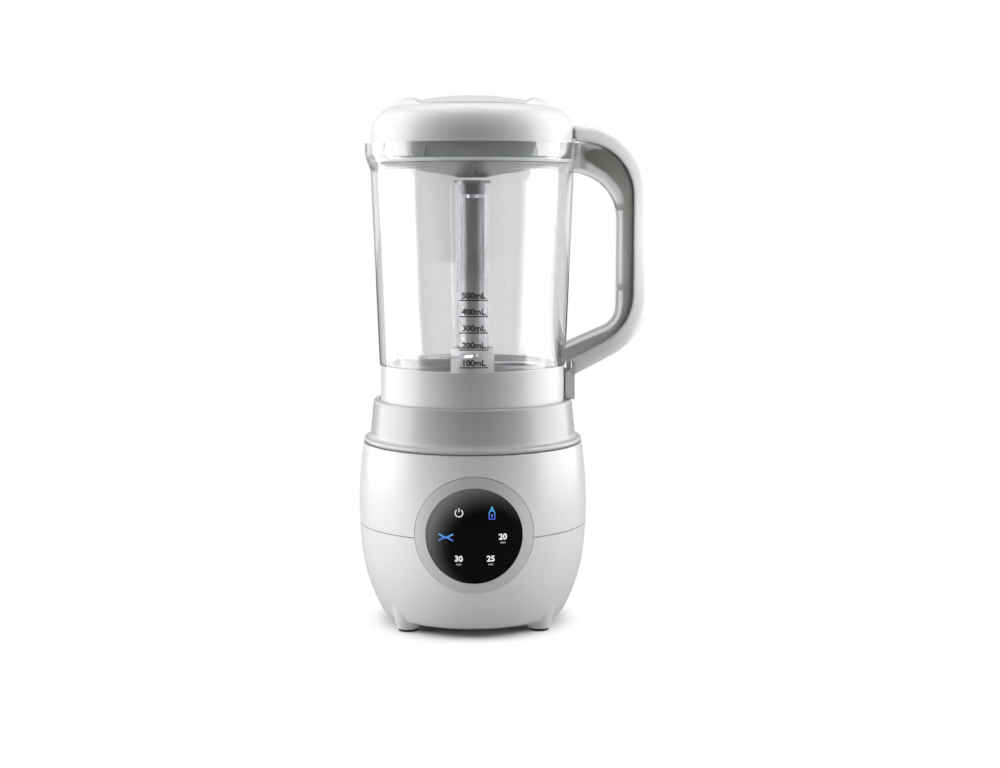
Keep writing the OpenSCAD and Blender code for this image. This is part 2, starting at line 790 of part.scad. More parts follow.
gland_r = 6;
gland_flange_r = 7.6;
gland_flange_t = 2.2;
gland_face_y = barrel_at(inlet_z) + 1.9;
gland_in_y = gland_face_y - 12;

module cord_gland() color(rubber_grey) on_axis() difference() {
    union() {
        cylinder_y(gland_r, gland_in_y, gland_face_y, z = inlet_z);
        cylinder_y(gland_flange_r, gland_face_y - gland_flange_t, gland_face_y, z = inlet_z);
        cylinder_y(gland_flange_r, gland_in_y, gland_in_y + 2.4, z = inlet_z);
    }
    cylinder_y(inlet_bore_r, gland_in_y - 1, gland_face_y + 1, z = inlet_z);
}

module interlock_plunger() color(steel) on_axis() translate([plunger_x, 0, 0]) {
    translate([0, 0, plunger_low_z]) cylinder(r = plunger_r, h = plunger_top_z - plunger_low_z);
}

plunger_travel = slider_travel - (tip_z - plunger_top_z) + 0.2;
plunger_low_z = switch_top_z + plunger_travel + 0.4;

// ---------------------------------------------------------------- jug

flare_steps = 10;
// Outline of the rim flare: an S curve from the wall to the band
function flare(r_low, r_high) = [for (i = [0 : flare_steps])
    [r_low + (r_high - r_low) * (1 - cos(180 * i / flare_steps)) / 2,
        flare_z + rim_flare_h * i / flare_steps]];
function reversed(list) = [for (i = [len(list) - 1 : -1 : 0]) list[i]];

skirt_in_r = skirt_r - skirt_wall;
bowl_foot_r = skirt_in_r - clear;
steam_ring_r = dish_r + 3.2;
steam_ring_wall = 2.2;
tube_in_r = tube_r - tube_wall;
tube_top_z = sleeve_top_z - 11;
ledge_in_r = 63.7;
ledge_z = jug_top_z - 3.6;
ledge_t = 3.2;
ledge_span = 28;
lug_offset = (ledge_span + lug_span) / 2 + 1.5;

module bowl_section() {
    polygon(concat(
        [[bowl_foot_r, jug_under_z], [bowl_foot_r, skirt_top_z + 0.2], [jug_low_r, skirt_top_z + 0.2]],
        flare(jug_high_r, rim_r),
        [[rim_r, jug_top_z], [rim_r - rim_wall, jug_top_z]],
        reversed(flare(jug_high_r - jug_wall, rim_r - rim_wall)),
        [[bowl_foot_r - jug_wall + 0.6, jug_floor_z + 6], [bowl_foot_r - jug_wall - 2, jug_floor_z],
            [bowl_foot_r - jug_wall - 2, jug_under_z]]));
    translate([tube_r + running, jug_under_z])
        square([bowl_foot_r - tube_r - running - 1, jug_floor_t]);
    translate([steam_ring_r - steam_ring_wall / 2, dish_top_z + 3])
        square([steam_ring_wall, jug_under_z + 1 - dish_top_z - 3]);
}

module jug_bowl() color(clear_plastic) on_axis() {
    rotate_extrude() bowl_section();
    // Bayonet ledges inside the rim band
    for (i = [0 : 3])
        ring_sector(rim_r - rim_wall + 0.5, ledge_in_r, ledge_z, ledge_z + ledge_t,
            lug_angle - lug_offset + 90 * i, ledge_span);
}

tube_flange_r = tube_r + 2.4;
tube_flange_t = 1;

// Steel tube round the spindle, flanged under the jug's floor
module jug_tube() color(steel) on_axis() {
    ring(tube_r, tube_in_r, jug_under_z, tube_top_z);
    ring(tube_flange_r, tube_in_r, jug_under_z - tube_flange_t, jug_under_z);
}

module jug_skirt() color(shell_white) on_axis()
    difference() {
        ring(skirt_r, skirt_in_r, dock_z + clear, skirt_top_z);
        // Shallow slot that clears the handle foot's lip
        ring_sector(skirt_r + 1, skirt_r - 0.6, foot_low_z, skirt_top_z + 1, 0, 16);
    }

seal_r = 2.1;

module jug_seal() color(silicone) on_axis() rotate_extrude() difference() {
    translate([steam_ring_r - seal_r, dish_top_z + clear / 2]) square([2 * seal_r, 4.6]);
    translate([steam_ring_r - steam_ring_wall / 2 - running, dish_top_z + 3 - running])
        square([steam_ring_wall + 2 * running, 10]);
}

// Outer solid of the jug, grown by a fit, which the handle parts are cut against
module jug_envelope(grow) rotate_extrude()
    polygon(concat([[0, dock_z], [skirt_r + grow, dock_z], [skirt_r + grow, skirt_top_z],
        [jug_low_r + grow, skirt_top_z]],
        [for (p = flare(jug_high_r, rim_r)) p + [grow, 0]],
        [[rim_r + grow, jug_top_z + grow], [0, jug_top_z + grow]]));

// ---------------------------------------------------------------- handle

upper_bend_x = handle_reach - upper_bend_r;
upper_bend_z = jug_top_z + handle_rise - upper_bend_r;
lower_bend_x = handle_reach - lower_bend_r;
lower_bend_z = jug_floor_z + lower_bend_rise;
arm_start_r = lid_r + 1.4;
lower_arm_l = 42;
gap_side_x = handle_reach - handle_depth;
gap_upper_x = gap_side_x - gap_upper_r;
gap_upper_z = jug_top_z - 47.8;
gap_lower_x = gap_side_x - gap_lower_r;
gap_lower_z = jug_floor_z + gap_lower_rise;
gap_slope = 23.6;

// Side outline of the whole handle, drawn in by inset from its outer face
module handle_outline(inset) {
    n = [cos(lower_bend_angle), -sin(lower_bend_angle)];
    along = [-sin(lower_bend_angle), -cos(lower_bend_angle)];
    corner = [lower_bend_x, lower_bend_z];
    arm_end = corner + (lower_bend_r - inset) * n + lower_arm_l * along;
    translate([upper_bend_x, upper_bend_z]) circle(upper_bend_r - inset);
    translate(corner) circle(lower_bend_r - inset);
    translate([arm_end[0], upper_bend_z])
        square([upper_bend_x - arm_end[0], upper_bend_r - inset]);
    translate([arm_end[0], lower_bend_z])
        square([handle_reach - inset - arm_end[0], upper_bend_z - lower_bend_z]);
    polygon([corner + [0, 1], corner + (lower_bend_r - inset) * n, arm_end,
        [arm_end[0], lower_bend_z + 1]]);
}

// Side outline of the finger gap, grown outwards into the handle
module finger_gap(grow) {
    n = [sin(gap_slope), -cos(gap_slope)];
    along = [-cos(gap_slope), -sin(gap_slope)];
    corner = [gap_lower_x, gap_lower_z];
    start = corner + (gap_lower_r + grow) * n;
    intersection() {
        translate([gap_upper_x, gap_upper_z]) circle(gap_upper_r + grow);
        translate([0, gap_upper_z]) square([big, big]);
    }
    translate(corner) circle(gap_lower_r + grow);
    translate([0, gap_lower_z]) square([gap_side_x + grow, gap_upper_z - gap_lower_z]);
    polygon([corner + [0, 1], start, start + gap_side_x * along, [start[0] - gap_side_x, gap_lower_z + 1]]);
}

module upright(width) rotate([90, 0, 0]) translate([0, 0, -width / 2])
    linear_extrude(width) children();

// Section of the handle cover: outer face at x = 0, width along y, walls drawn in by inset
module cover_section(inset = 0) difference() {
    half = cover_w / 2 - inset;
    round_y = cover_w / 2 - cover_edge_r;
    inner_half = cover_w / 2 - cover_wall + inset;
    union() {
        translate([inset - cover_t, -half]) square([cover_t - cover_edge_r - inset, 2 * half]);
        translate([inset - cover_t, -round_y]) square([cover_t - 2 * inset, 2 * round_y]);
        for (side = [-1, 1]) translate([-cover_edge_r, side * round_y]) circle(cover_edge_r - inset);
    }
    translate([-cover_t - 1, -inner_half]) square([cover_t + 1 - cover_wall + inset, 2 * inner_half]);
}

foot_r = 65.4;
foot_in_r = jug_low_r + clear;
foot_low_z = collar_top_z + clear;
foot_span = 18;
foot_h = 24;
slider_slot = slider_t + 2 * clear;

// The section swept along the handle: upper arm, bend, upright grip, bend, lower arm
module handle_cover() color(shell_white) on_axis() {
    difference() {
        union() {
            translate([upper_bend_x, 0, upper_bend_z + upper_bend_r]) rotate([0, -90, 0])
                linear_extrude(upper_bend_x - arm_start_r + 4) cover_section();
            translate([upper_bend_x, 0, upper_bend_z]) rotate([90, 0, 0])
                rotate_extrude(angle = 90) translate([upper_bend_r, 0]) cover_section();
            translate([handle_reach, 0, lower_bend_z])
                linear_extrude(upper_bend_z - lower_bend_z) cover_section();
            translate([lower_bend_x, 0, lower_bend_z]) rotate([90, 0, 0])
                rotate_extrude(angle = lower_bend_angle, start = -lower_bend_angle)
                    translate([lower_bend_r, 0]) cover_section();
            translate([lower_bend_x, 0, lower_bend_z]) rotate([0, lower_bend_angle, 0])
                translate([lower_bend_r, 0, -lower_arm_l]) linear_extrude(lower_arm_l + 1)
                    cover_section(weld);
        }
        jug_envelope(clear);
        translate([0, 0, jug_top_z - 1]) cylinder(r = arm_start_r, h = 30);
        // Slot that the lid's tongue turns into, open to the rear
        translate([0, 0, tongue_z - clear]) ring_sector(tongue_r + 1, arm_start_r - 5, 0,
            tongue_h + 3 * clear, 12, 32);
        // The lower arm ends at the foot's face
        translate([0, -big / 2, foot_low_z]) cube([foot_r - 1, big, foot_h]);
    }
    // Bosses that take the screws
    difference() {
        at_handle_screws() translate([0, 0, handle_depth - cover_t])
            cylinder(r = post_r, h = cover_t - cover_wall + 1);
        at_handle_screws() cylinder(r = screw_r + running, h = screw_end + clear);
    }
    // Foot beside the skirt that leads the slider's tip to the collar
    difference() {
        ring_sector(foot_r, foot_in_r, foot_low_z, foot_low_z + foot_h - 6, 0, foot_span);
        translate([foot_in_r - 1, -slider_slot / 2, foot_low_z - 1])
            cube([slider_leg_x + slider_leg_w + clear - foot_in_r + 1, slider_slot, foot_h + 2]);
    }
}

groove_t = 2.7;

module handle_frame() color(clear_plastic) on_axis() difference() {
    union() {
        upright(frame_w) difference() {
            handle_outline(cover_t + groove_t);
            finger_gap(0);
        }
        upright(cover_w - 2 * cover_wall - 2 * clear) difference() {
            handle_outline(cover_t + clear / 2);
            finger_gap(1);
        }
    }
    // Channel for the slider, open towards the cover, with posts for the screws
    difference() {
        upright(frame_w - 2 * frame_wall - 2) difference() {
            handle_outline(cover_t - 3);
            finger_gap(frame_wall);
        }
        at_handle_screws() cylinder(r = post_r, h = handle_depth);
    }
    jug_envelope(0.05);
    translate([0, 0, jug_top_z - 1]) cylinder(r = arm_start_r + 2, h = 30);
    translate([0, 0, slider_top_z - slider_travel - clear]) ring_sector(tongue_r + 1, 60, 0, 30, 12, 32);
    // The lower arm stops at the foot
    translate([0, -big / 2, dock_z]) cube([foot_r + clear, big, foot_low_z + foot_h - 6 + clear - dock_z]);
    at_handle_screws() {
        cylinder(r = screw_r + running, h = handle_depth);
        translate([0, 0, -1]) cylinder(r = screw_head_r + running, h = 1 + screw_sink + screw_head_h);
    }
}

screw_r = 1.2;
screw_head_r = 2.2;
screw_head_h = 1.6;
screw_sink = 0.4;
screw_y = 4.7;
screw_high_rise = 8.2;
screw_low_rise = 12.5;
post_r = 2.5;
screw_end = handle_depth - cover_wall - 1;

// Places of the two cover screws, one on each side of the slider, axes along +X
module at_handle_screws()
    for (at = [[screw_y, gap_upper_z + screw_high_rise], [-screw_y, gap_lower_z + screw_low_rise]])
        translate([gap_side_x, at[0], at[1]]) rotate([0, 90, 0]) children();

module handle_screws() color(steel) on_axis() at_handle_screws() {
    translate([0, 0, screw_sink]) cylinder(r = screw_head_r, h = screw_head_h);
    translate([0, 0, screw_sink]) cylinder(r = screw_r, h = screw_end - screw_sink);
}

slider_head_x = 68.4;
slider_head_w = 3.8;
slider_top_z = jug_top_z - 0.2;
slider_leg_x = foot_in_r + 0.6;
slider_leg_w = 2.8;
slider_gap = frame_wall + 1.1;
slider_bar_w = 3.8;
slider_arm_z = slider_top_z - 2.5;
slider_arm_t = 3.6;

// Points at a distance from the finger gap: its lower corner, then its floor as far as an x
function under_gap(distance, x_end) = let (
        corner = [gap_lower_x, gap_lower_z],
        r = gap_lower_r + distance,
        last = corner + r * [sin(gap_slope), -cos(gap_slope)])
    concat([for (i = [0 : 5]) corner + r * [cos((gap_slope - 90) * i / 5), sin((gap_slope - 90) * i / 5)]],
        [[x_end, last[1] - (last[0] - x_end) * tan(gap_slope)]]);

// C-shaped plate inside the handle: head under the lid's tongue, bar, arm and leg
module interlock_slider() color("#d9d9d4") on_axis() {
    bar_in = gap_side_x + slider_gap;
    bar_out = bar_in + slider_bar_w;
    leg_out = slider_leg_x + slider_leg_w;
    upright(slider_t) polygon(concat([
        [slider_head_x, slider_arm_z - slider_arm_t], [slider_head_x, slider_top_z],
        [slider_head_x + slider_head_w, slider_top_z], [slider_head_x + slider_head_w, slider_arm_z],
        [upper_bend_x + 11, slider_arm_z], [bar_out, upper_bend_z + 8]],
        under_gap(slider_gap + slider_bar_w, leg_out),
        [[leg_out, tip_z + 6], [slider_leg_x, tip_z + 6]],
        reversed(under_gap(slider_gap, slider_leg_x)),
        [[bar_in, upper_bend_z + 6], [upper_bend_x + 9, slider_arm_z - slider_arm_t]]));
    translate([plunger_x, 0, tip_z]) cylinder(r = plunger_r, h = 7);
}

spring_low_z = gap_upper_z + sqrt(pow(gap_upper_r + frame_wall, 2)
    - pow(slider_head_x + slider_head_w / 2 - gap_upper_x, 2)) + 1.2;
spring_high_z = slider_arm_z - slider_arm_t - 0.1;
spring_turns = 5;
spring_sides = 8;
spring_steps = 16;

// Coil wound upwards, swept as rings of points about its own helix
module coil(z_low, z_high, r, wire, turns) {
    count = turns * spring_steps;
    function centre(i) = let (a = 360 * i / spring_steps)
        [r * cos(a), r * sin(a), z_low + wire + (z_high - z_low - 2 * wire) * i / count];
    points = [for (i = [0 : count], s = [0 : spring_sides - 1])
        let (a = 360 * i / spring_steps, b = 360 * s / spring_sides)
            centre(i) + wire * [cos(b) * cos(a), cos(b) * sin(a), sin(b)]];
    sides = [for (i = [0 : count - 1], s = [0 : spring_sides - 1])
        let (next = (s + 1) % spring_sides, k = i * spring_sides)
            [k + s, k + spring_sides + s, k + spring_sides + next, k + next]];
    polyhedron(points, concat(sides, [[for (s = [0 : spring_sides - 1]) s]],
        [[for (s = [spring_sides - 1 : -1 : 0]) count * spring_sides + s]]), convexity = 10);
}

module interlock_spring() color(steel) on_axis()
    translate([slider_head_x + slider_head_w / 2, 0, 0])
        coil(spring_low_z, spring_high_z, spring_r, spring_wire_r, spring_turns);

// ---------------------------------------------------------------- blade unit

sleeve_in_r = sleeve_r - sleeve_wall;
sleeve_low_z = jug_floor_z + 0.4;
hub_h = 9;
cap_h = 2;
cap_r = sleeve_r + 0.9;
hub_fit = 0.1;

module blade_sleeve() color(clear_plastic) on_axis()
    ring(sleeve_r, sleeve_in_r, sleeve_low_z, sleeve_top_z - cap_h);

module sleeve_hub() color(silver) on_axis() difference() {
    union() {
        translate([0, 0, sleeve_top_z - cap_h]) cylinder(r = cap_r, h = cap_h);
        translate([0, 0, sleeve_top_z - cap_h - hub_h + 2])
            cylinder(r = sleeve_in_r - running, h = hub_h - 2 + 0.5);
    }
    translate([0, 0, sleeve_top_z - hub_h - 5])
        cylinder(r = (hex_flats / 2 + hub_fit) / cos(30), h = hub_h + 2.6, $fn = 6);
}

collar_blade_r = 14;
collar_blade_h = blade_step + 8;

module blade_collar() color(shell_white) on_axis() {
    difference() {
        ring(collar_blade_r, sleeve_r + running, sleeve_low_z, sleeve_low_z + collar_blade_h);
        blade_pair(running);
    }
}

// Sickle blade: a crescent between two circles, from the collar to its point
module sickle() {
    outer_r = (blade_reach + 7) / 2;
    difference() {
        intersection() {
            translate([blade_reach - outer_r, 0]) circle(outer_r);
            translate([-5, 0]) square([big, big]);
        }
        translate([blade_reach - outer_r + 1.5, -9]) circle(outer_r - 0.5);
    }
}

module blade_pair(grow) {
    for (i = [0, 1]) rotate([0, 0, 180 * i])
        translate([0, 0, jug_floor_z + blade_z + i * blade_step - grow])
            difference() {
                linear_extrude(blade_t + 2 * grow) union() {
                    sickle();
                    circle(collar_blade_r - 1.5 + grow);
                }
                translate([0, 0, -1]) cylinder(r = sleeve_r + running, h = blade_t + 3);
            }
}

module chopping_blades() color(steel) on_axis() blade_pair(0);

// ---------------------------------------------------------------- lid

spigot_r = 62.6;
spigot_wall = lid_wall;
groove_z = spigot_z + 0.4;
groove_h = 2.4;
groove_depth = 1.4;
seal_out_r = 63.3;
lug_z = groove_z + groove_h + 0.6;
lug_r = 64.3;
lug_h = ledge_z - clear - lug_z;
dome_centre_z = jug_top_z + lid_h - lid_dome_r;
shoulder_x = lid_r - lid_shoulder_r;
shoulder_rise = 6.3;
shoulder_centre_z = jug_top_z + shoulder_rise;
grip_centre_z = dome_centre_z + sqrt(pow(lid_dome_r, 2) - pow(grip_ring_r, 2)) + grip_proud - grip_r;

// Half section of the domed lid, drawn in by inset
module dome_section(inset) intersection() {
    translate([0, dome_centre_z]) circle(lid_dome_r - inset, $fn = 360);
    union() {
        translate([0, 0]) square([shoulder_x, big * 2]);
        translate([0, lid_z]) square([lid_r - inset, shoulder_centre_z - lid_z]);
        translate([shoulder_x, shoulder_centre_z]) circle(lid_shoulder_r - inset);
    }
    translate([0, lid_z]) square([lid_r - inset, big]);
}

tongue_r = 72;
tongue_z = jug_top_z + clear + 0.1;
tongue_h = 2.6;
finger_w = 3.4;
tongue_span = 6;

// Hollow curve that runs over the dome from front to back beside each grip
grip_hollow_at = sqrt(pow(lid_dome_r, 2) - pow(grip_inner_x, 2)) + grip_hollow_r - 0.15;

// Two crescents: a round ring over the dome, hollowed out on its inner side
module lid_grips() difference() {
    rotate_extrude() translate([grip_ring_r, grip_centre_z]) circle(grip_r);
    translate([0, 0, dome_centre_z]) rotate([0, 90, 0]) rotate_extrude($fn = 360) {
        translate([lid_dome_r - 2 * grip_r, -grip_inner_x]) square([4 * grip_r, 2 * grip_inner_x]);
        for (side = [-1, 1]) translate([grip_hollow_at, side * grip_inner_x]) circle(grip_hollow_r);
    }
}

module lid_shell() color(shell_white) on_axis() {
    difference() {
        union() {
            rotate_extrude() dome_section(0);
            lid_grips();
        }
        rotate_extrude() difference() {
            translate([0, lid_z - 1]) square([lid_r - lid_wall, big]);
            difference() {
                translate([0, lid_z]) square([lid_r, big]);
                dome_section(lid_wall);
            }
        }
    }
    // Spigot with the seal's groove
    rotate_extrude() difference() {
        translate([spigot_r - spigot_wall, spigot_z]) square([spigot_wall, lid_z + 2 - spigot_z]);
        translate([spigot_r - groove_depth, groove_z]) square([groove_depth + 1, groove_h]);
    }
    rotate_extrude() translate([spigot_r - spigot_wall, lid_z])
        square([lid_r - spigot_r + spigot_wall - 0.2, 2]);
    // Bayonet lugs, in the gaps between the jug's ledges
    for (i = [0 : 3])
        ring_sector(lug_r, spigot_r - 1, lug_z, lug_z + lug_h, lug_angle + 90 * i, lug_span);
    // Interlock tongue with its finger
    ring_sector(tongue_r, lid_r - 1, tongue_z, tongue_z + tongue_h, lid_turn, tongue_span);
    ring_sector(tongue_r, tongue_r - finger_w, slider_top_z - slider_travel + 0.7, tongue_z + 1,
        lid_turn, tongue_span);
}

module lid_seal() color(silicone) on_axis()
    ring(seal_out_r, spigot_r - groove_depth + clear, groove_z + 0.2, groove_z + groove_h - 0.2);

cone_tip_r = 8;
cone_t = 2;

module lid_liner() color(shell_white) on_axis() rotate_extrude() {
    in_r = spigot_r - spigot_wall - running;
    polygon([[0, cone_tip_z], [cone_tip_r, cone_tip_z], [in_r - 2, spigot_z - 0.2], [in_r, spigot_z],
        [in_r, spigot_z + 5], [in_r - 2, spigot_z + 5], [in_r - 2, spigot_z + cone_t],
        [cone_tip_r, cone_tip_z + cone_t], [0, cone_tip_z + cone_t]]);
}

lower_housing();
upper_housing();
docking_collar();
bottom_cover();
rubber_feet();
cover_screws();
display_bezel();
display_glass();
display_board();
steam_dish();
heating_ring();
thermostat();
spindle_bush();
motor_stator();
motor_mount();
motor_bracket();
motor_screws();
power_board();
board_parts();
interlock_switch();
cord_gland();
interlock_plunger();
motor_rotor();
cooling_fan();
drive_spindle();
spindle_coupling();
jug_bowl();
jug_tube();
jug_skirt();
jug_seal();
handle_frame();
handle_cover();
handle_screws();
interlock_spring();
interlock_slider();
blade_sleeve();
sleeve_hub();
blade_collar();
chopping_blades();
lid_seal();
lid_shell();
lid_liner();
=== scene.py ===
import math

import bmesh
import bpy
from mathutils import Matrix, Vector
from mathutils.bvhtree import BVHTree


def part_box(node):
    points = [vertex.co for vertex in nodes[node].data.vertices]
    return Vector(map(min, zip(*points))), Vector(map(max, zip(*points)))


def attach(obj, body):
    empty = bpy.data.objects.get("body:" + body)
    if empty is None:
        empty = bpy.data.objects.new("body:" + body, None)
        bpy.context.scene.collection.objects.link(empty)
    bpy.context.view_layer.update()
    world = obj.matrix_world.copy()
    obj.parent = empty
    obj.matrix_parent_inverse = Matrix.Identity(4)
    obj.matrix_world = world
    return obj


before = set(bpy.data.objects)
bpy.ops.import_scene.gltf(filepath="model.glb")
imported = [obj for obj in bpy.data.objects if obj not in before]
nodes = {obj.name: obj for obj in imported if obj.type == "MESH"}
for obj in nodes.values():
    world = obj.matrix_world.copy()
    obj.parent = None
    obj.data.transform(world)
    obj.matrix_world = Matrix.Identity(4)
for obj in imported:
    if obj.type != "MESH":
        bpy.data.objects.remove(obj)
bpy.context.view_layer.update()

MM = 0.001

# The drive axis, and the heights that the pieces below are placed by
AXIS_X = sum(corner.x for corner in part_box("jug_skirt")) / 2
JUG_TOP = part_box("jug_bowl")[1].z
DISPLAY_Z = sum(corner.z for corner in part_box("display_glass")) / 2


def from_axis(x, y, z):
    """A point given from the foot of the drive axis."""
    return (AXIS_X + x, y, z)


def link(made):
    """Puts a new object into the scene."""
    bpy.context.scene.collection.objects.link(made)
    return made


# ------------------------------------------------------------------ camera

# Sensor width and focal length in millimetres
SENSOR_W = 36
LENS = 61.2
# The view's turn about the upright axis and its tilt below the level, in degrees
VIEW_TURN = -1.55
VIEW_TILT = 6.3
# Where the camera stands from the foot of the drive axis, before the turn
CAMERA_AT = (17.5 * MM, -1.083, 0.272)


def make_camera():
    """The photograph's view: from just left of the front, above the middle, looking a little down."""
    data = bpy.data.cameras.new("camera")
    data.sensor_width = SENSOR_W
    data.lens = LENS
    camera = link(bpy.data.objects.new("camera", data))
    turn = Matrix.Rotation(math.radians(VIEW_TURN), 3, "Z")
    camera.location = Vector(from_axis(0, 0, 0)) + turn @ Vector(CAMERA_AT)
    camera.rotation_euler = (math.radians(90 - VIEW_TILT), 0, math.radians(VIEW_TURN))
    bpy.context.scene.camera = camera


# ------------------------------------------------------------------ shader nodes

def add_node(tree, kind, inputs=None, **settings):
    """A node with its settings made and its inputs set, each to a value or linked to a socket."""
    made = tree.nodes.new("ShaderNode" + kind)
    for name, value in settings.items():
        setattr(made, name, value)
    for name, value in (inputs or {}).items():
        if isinstance(value, bpy.types.NodeSocket):
            tree.links.new(value, made.inputs[name])
        else:
            made.inputs[name].default_value = value
    return made


def compute(tree, operation, *values):
    """The result of one Math node on numbers or sockets."""
    return add_node(tree, "Math", dict(enumerate(values)), operation=operation).outputs["Value"]


def blend(tree, low, high, factor):
    """Low where the factor is 0, high where it is 1; each is a number or a socket."""
    return add_node(tree, "Mix", {"A": low, "B": high, "Factor": factor}).outputs["Result"]


def mix_colors(tree, low, high, factor):
    """Runs from one colour to another as the factor's socket goes from 0 to 1."""
    inputs = {"A": (*low, 1), "B": (*high, 1), "Factor": factor}
    return add_node(tree, "Mix", inputs, data_type="RGBA").outputs["Result"]


def mix_shaders(tree, low, high, factor):
    """Puts a mix of two shaders on the material's output."""
    mix = add_node(tree, "MixShader", {"Fac": factor, 1: low, 2: high})
    tree.links.new(mix.outputs["Shader"], tree.nodes["Material Output"].inputs["Surface"])


def smooth_ramp(tree, value, low, high, low_value=0.0):
    """Runs smoothly from a value to 1 as the socket goes from low to high."""
    inputs = {"From Min": low, "From Max": high, "To Min": low_value, "Value": value}
    return add_node(tree, "MapRange", inputs, interpolation_type="SMOOTHSTEP").outputs["Result"]


def height_ramp(tree, coords, low, high, low_value=0.0):
    """Runs evenly from a value to 1 between two heights of the object."""
    split = add_node(tree, "SeparateXYZ", {"Vector": coords.outputs["Object"]})
    inputs = {"From Min": low, "From Max": high, "To Min": low_value, "Value": split.outputs["Z"]}
    return add_node(tree, "MapRange", inputs).outputs["Result"]


def ray_kind(tree, *kinds):
    """1 for the kinds of ray that are named, where no diffuse bounce came before them."""
    path = add_node(tree, "LightPath")
    named = path.outputs[kinds[0]]
    for kind in kinds[1:]:
        named = compute(tree, "MAXIMUM", named, path.outputs[kind])
    direct = compute(tree, "LESS_THAN", path.outputs["Diffuse Depth"], 0.5)
    return compute(tree, "MULTIPLY", named, direct)


def found(tree, kind):
    """The first node of a kind that a tree holds."""
    return next(node for node in tree.nodes if node.type == kind)


# ------------------------------------------------------------------ surfaces

GRAIN_DEPTH = 0.1 * MM
GRAIN_DETAIL = 4
COAT_ROUGH = 0.12
# How far the base colour varies, as a share of itself
PLASTIC_TINT = 0.03
METAL_TINT = 0.15
# Fine lines on metal: noise scale, spread of the roughness and bump
LINE_SCALE = 60
LINE_SPREAD = 0.08
LINE_BUMP = 0.15
# What clear plastic lets through of the light that a shadow would stop
CLEAR_SHADOW = 0.96
UNLIT = (0.01, 0.01, 0.01, 1)
BEVEL_SAMPLES = 8


def new_material(name="surface"):
    """A material with its tree and its main shader."""
    material = bpy.data.materials.new(name)
    material.use_nodes = True
    tree = material.node_tree
    return material, tree, tree.nodes["Principled BSDF"]


def add_grain(tree, shader, rough, spread, bump, scale, stretch=None):
    """Fine moulded texture: noise that moves the roughness and a shallow bump."""
    place = add_node(tree, "TexCoord").outputs["Object"]
    if stretch:
        place = add_node(tree, "Mapping", {"Vector": place, "Scale": stretch}).outputs["Vector"]
    inputs = {"Scale": scale, "Detail": GRAIN_DETAIL, "Vector": place}
    noise = add_node(tree, "TexNoise", inputs).outputs["Fac"]
    inputs = {"To Min": rough - spread, "To Max": rough + spread, "Value": noise}
    roughness = add_node(tree, "MapRange", inputs).outputs["Result"]
    tree.links.new(roughness, shader.inputs["Roughness"])
    relief = add_node(tree, "Bump", {"Strength": bump, "Distance": GRAIN_DEPTH, "Height": noise})
    tree.links.new(relief.outputs["Normal"], shader.inputs["Normal"])
    return noise


def add_tint(tree, shader, noise, color, share):
    """A slight variation of the base colour, as real surfaces have."""
    tinted = mix_colors(tree, color, [c * (1 - share) for c in color], noise)
    tree.links.new(tinted, shader.inputs["Base Color"])


def solid(color, rough, metallic=0.0, coat=0.0, spread=0.03, bump=0.05, scale=900):
    """Moulded plastic, rubber or cast metal."""
    material, tree, shader = new_material()
    shader.inputs["Metallic"].default_value = metallic
    shader.inputs["Coat Weight"].default_value = coat
    shader.inputs["Coat Roughness"].default_value = COAT_ROUGH
    noise = add_grain(tree, shader, rough, spread, bump, scale)
    add_tint(tree, shader, noise, color, PLASTIC_TINT)
    return material


def brushed(color, rough, stretch):
    """Metal with fine lines; stretch is one of the scales given with the materials."""
    material, tree, shader = new_material()
    shader.inputs["Metallic"].default_value = 1
    noise = add_grain(tree, shader, rough, LINE_SPREAD, LINE_BUMP, LINE_SCALE, stretch)
    add_tint(tree, shader, noise, color, METAL_TINT)
    return material


def graded(material, low, high, low_share):
    """Paints light or shade by height: multiplies a material's colour by a share below one height,
    which runs to 1 at another.
    """
    tree = material.node_tree
    color = tree.nodes["Principled BSDF"].inputs["Base Color"]
    share = height_ramp(tree, found(tree, "TEX_COORD"), low, high, low_share)
    inputs = {0: color.links[0].from_socket, "Scale": share}
    scaled = add_node(tree, "VectorMath", inputs, operation="SCALE")
    tree.links.new(scaled.outputs["Vector"], color)
    return material


def rounded(material, radius):
    """Softens a material's edges in the shading, as a moulded cover's are."""
    tree = material.node_tree
    edge = add_node(tree, "Bevel", {"Radius": radius}, samples=BEVEL_SAMPLES)
    tree.links.new(edge.outputs["Normal"], found(tree, "BUMP").inputs["Normal"])
    return material


def clear(color, rough, ior=1.46):
    """Clear moulded plastic. Lamps shine through it, so that what it holds is lit."""
    material, tree, shader = new_material()
    shader.inputs["Transmission Weight"].default_value = 1
    shader.inputs["IOR"].default_value = ior
    shader.inputs["Base Color"].default_value = (*color, 1)
    shader.inputs["Roughness"].default_value = rough
    path = add_node(tree, "LightPath")
    through = add_node(tree, "BsdfTransparent", {"Color": (*[c * CLEAR_SHADOW for c in color], 1)})
    mix_shaders(tree, shader.outputs["BSDF"], through.outputs["BSDF"], path.outputs["Is Shadow Ray"])
    return material


def glow(color, strength):
    """A symbol lit in one colour."""
    material, tree, shader = new_material()
    add_grain(tree, shader, rough=0.3, spread=0.05, bump=0.05, scale=900)
    shader.inputs["Base Color"].default_value = UNLIT
    shader.inputs["Emission Color"].default_value = (*color, 1)
    shader.inputs["Emission Strength"].default_value = strength
    return material


def glow_ramp(low, high, z_low, z_high):
    """A lit symbol whose colour runs from low to high up its height."""
    material, tree, shader = new_material()
    shader.inputs["Base Color"].default_value = UNLIT
    ramp = height_ramp(tree, add_node(tree, "TexCoord"), z_low, z_high)
    tree.links.new(mix_colors(tree, low, high, ramp), shader.inputs["Emission Color"])
    shader.inputs["Emission Strength"].default_value = 1.0
    return material
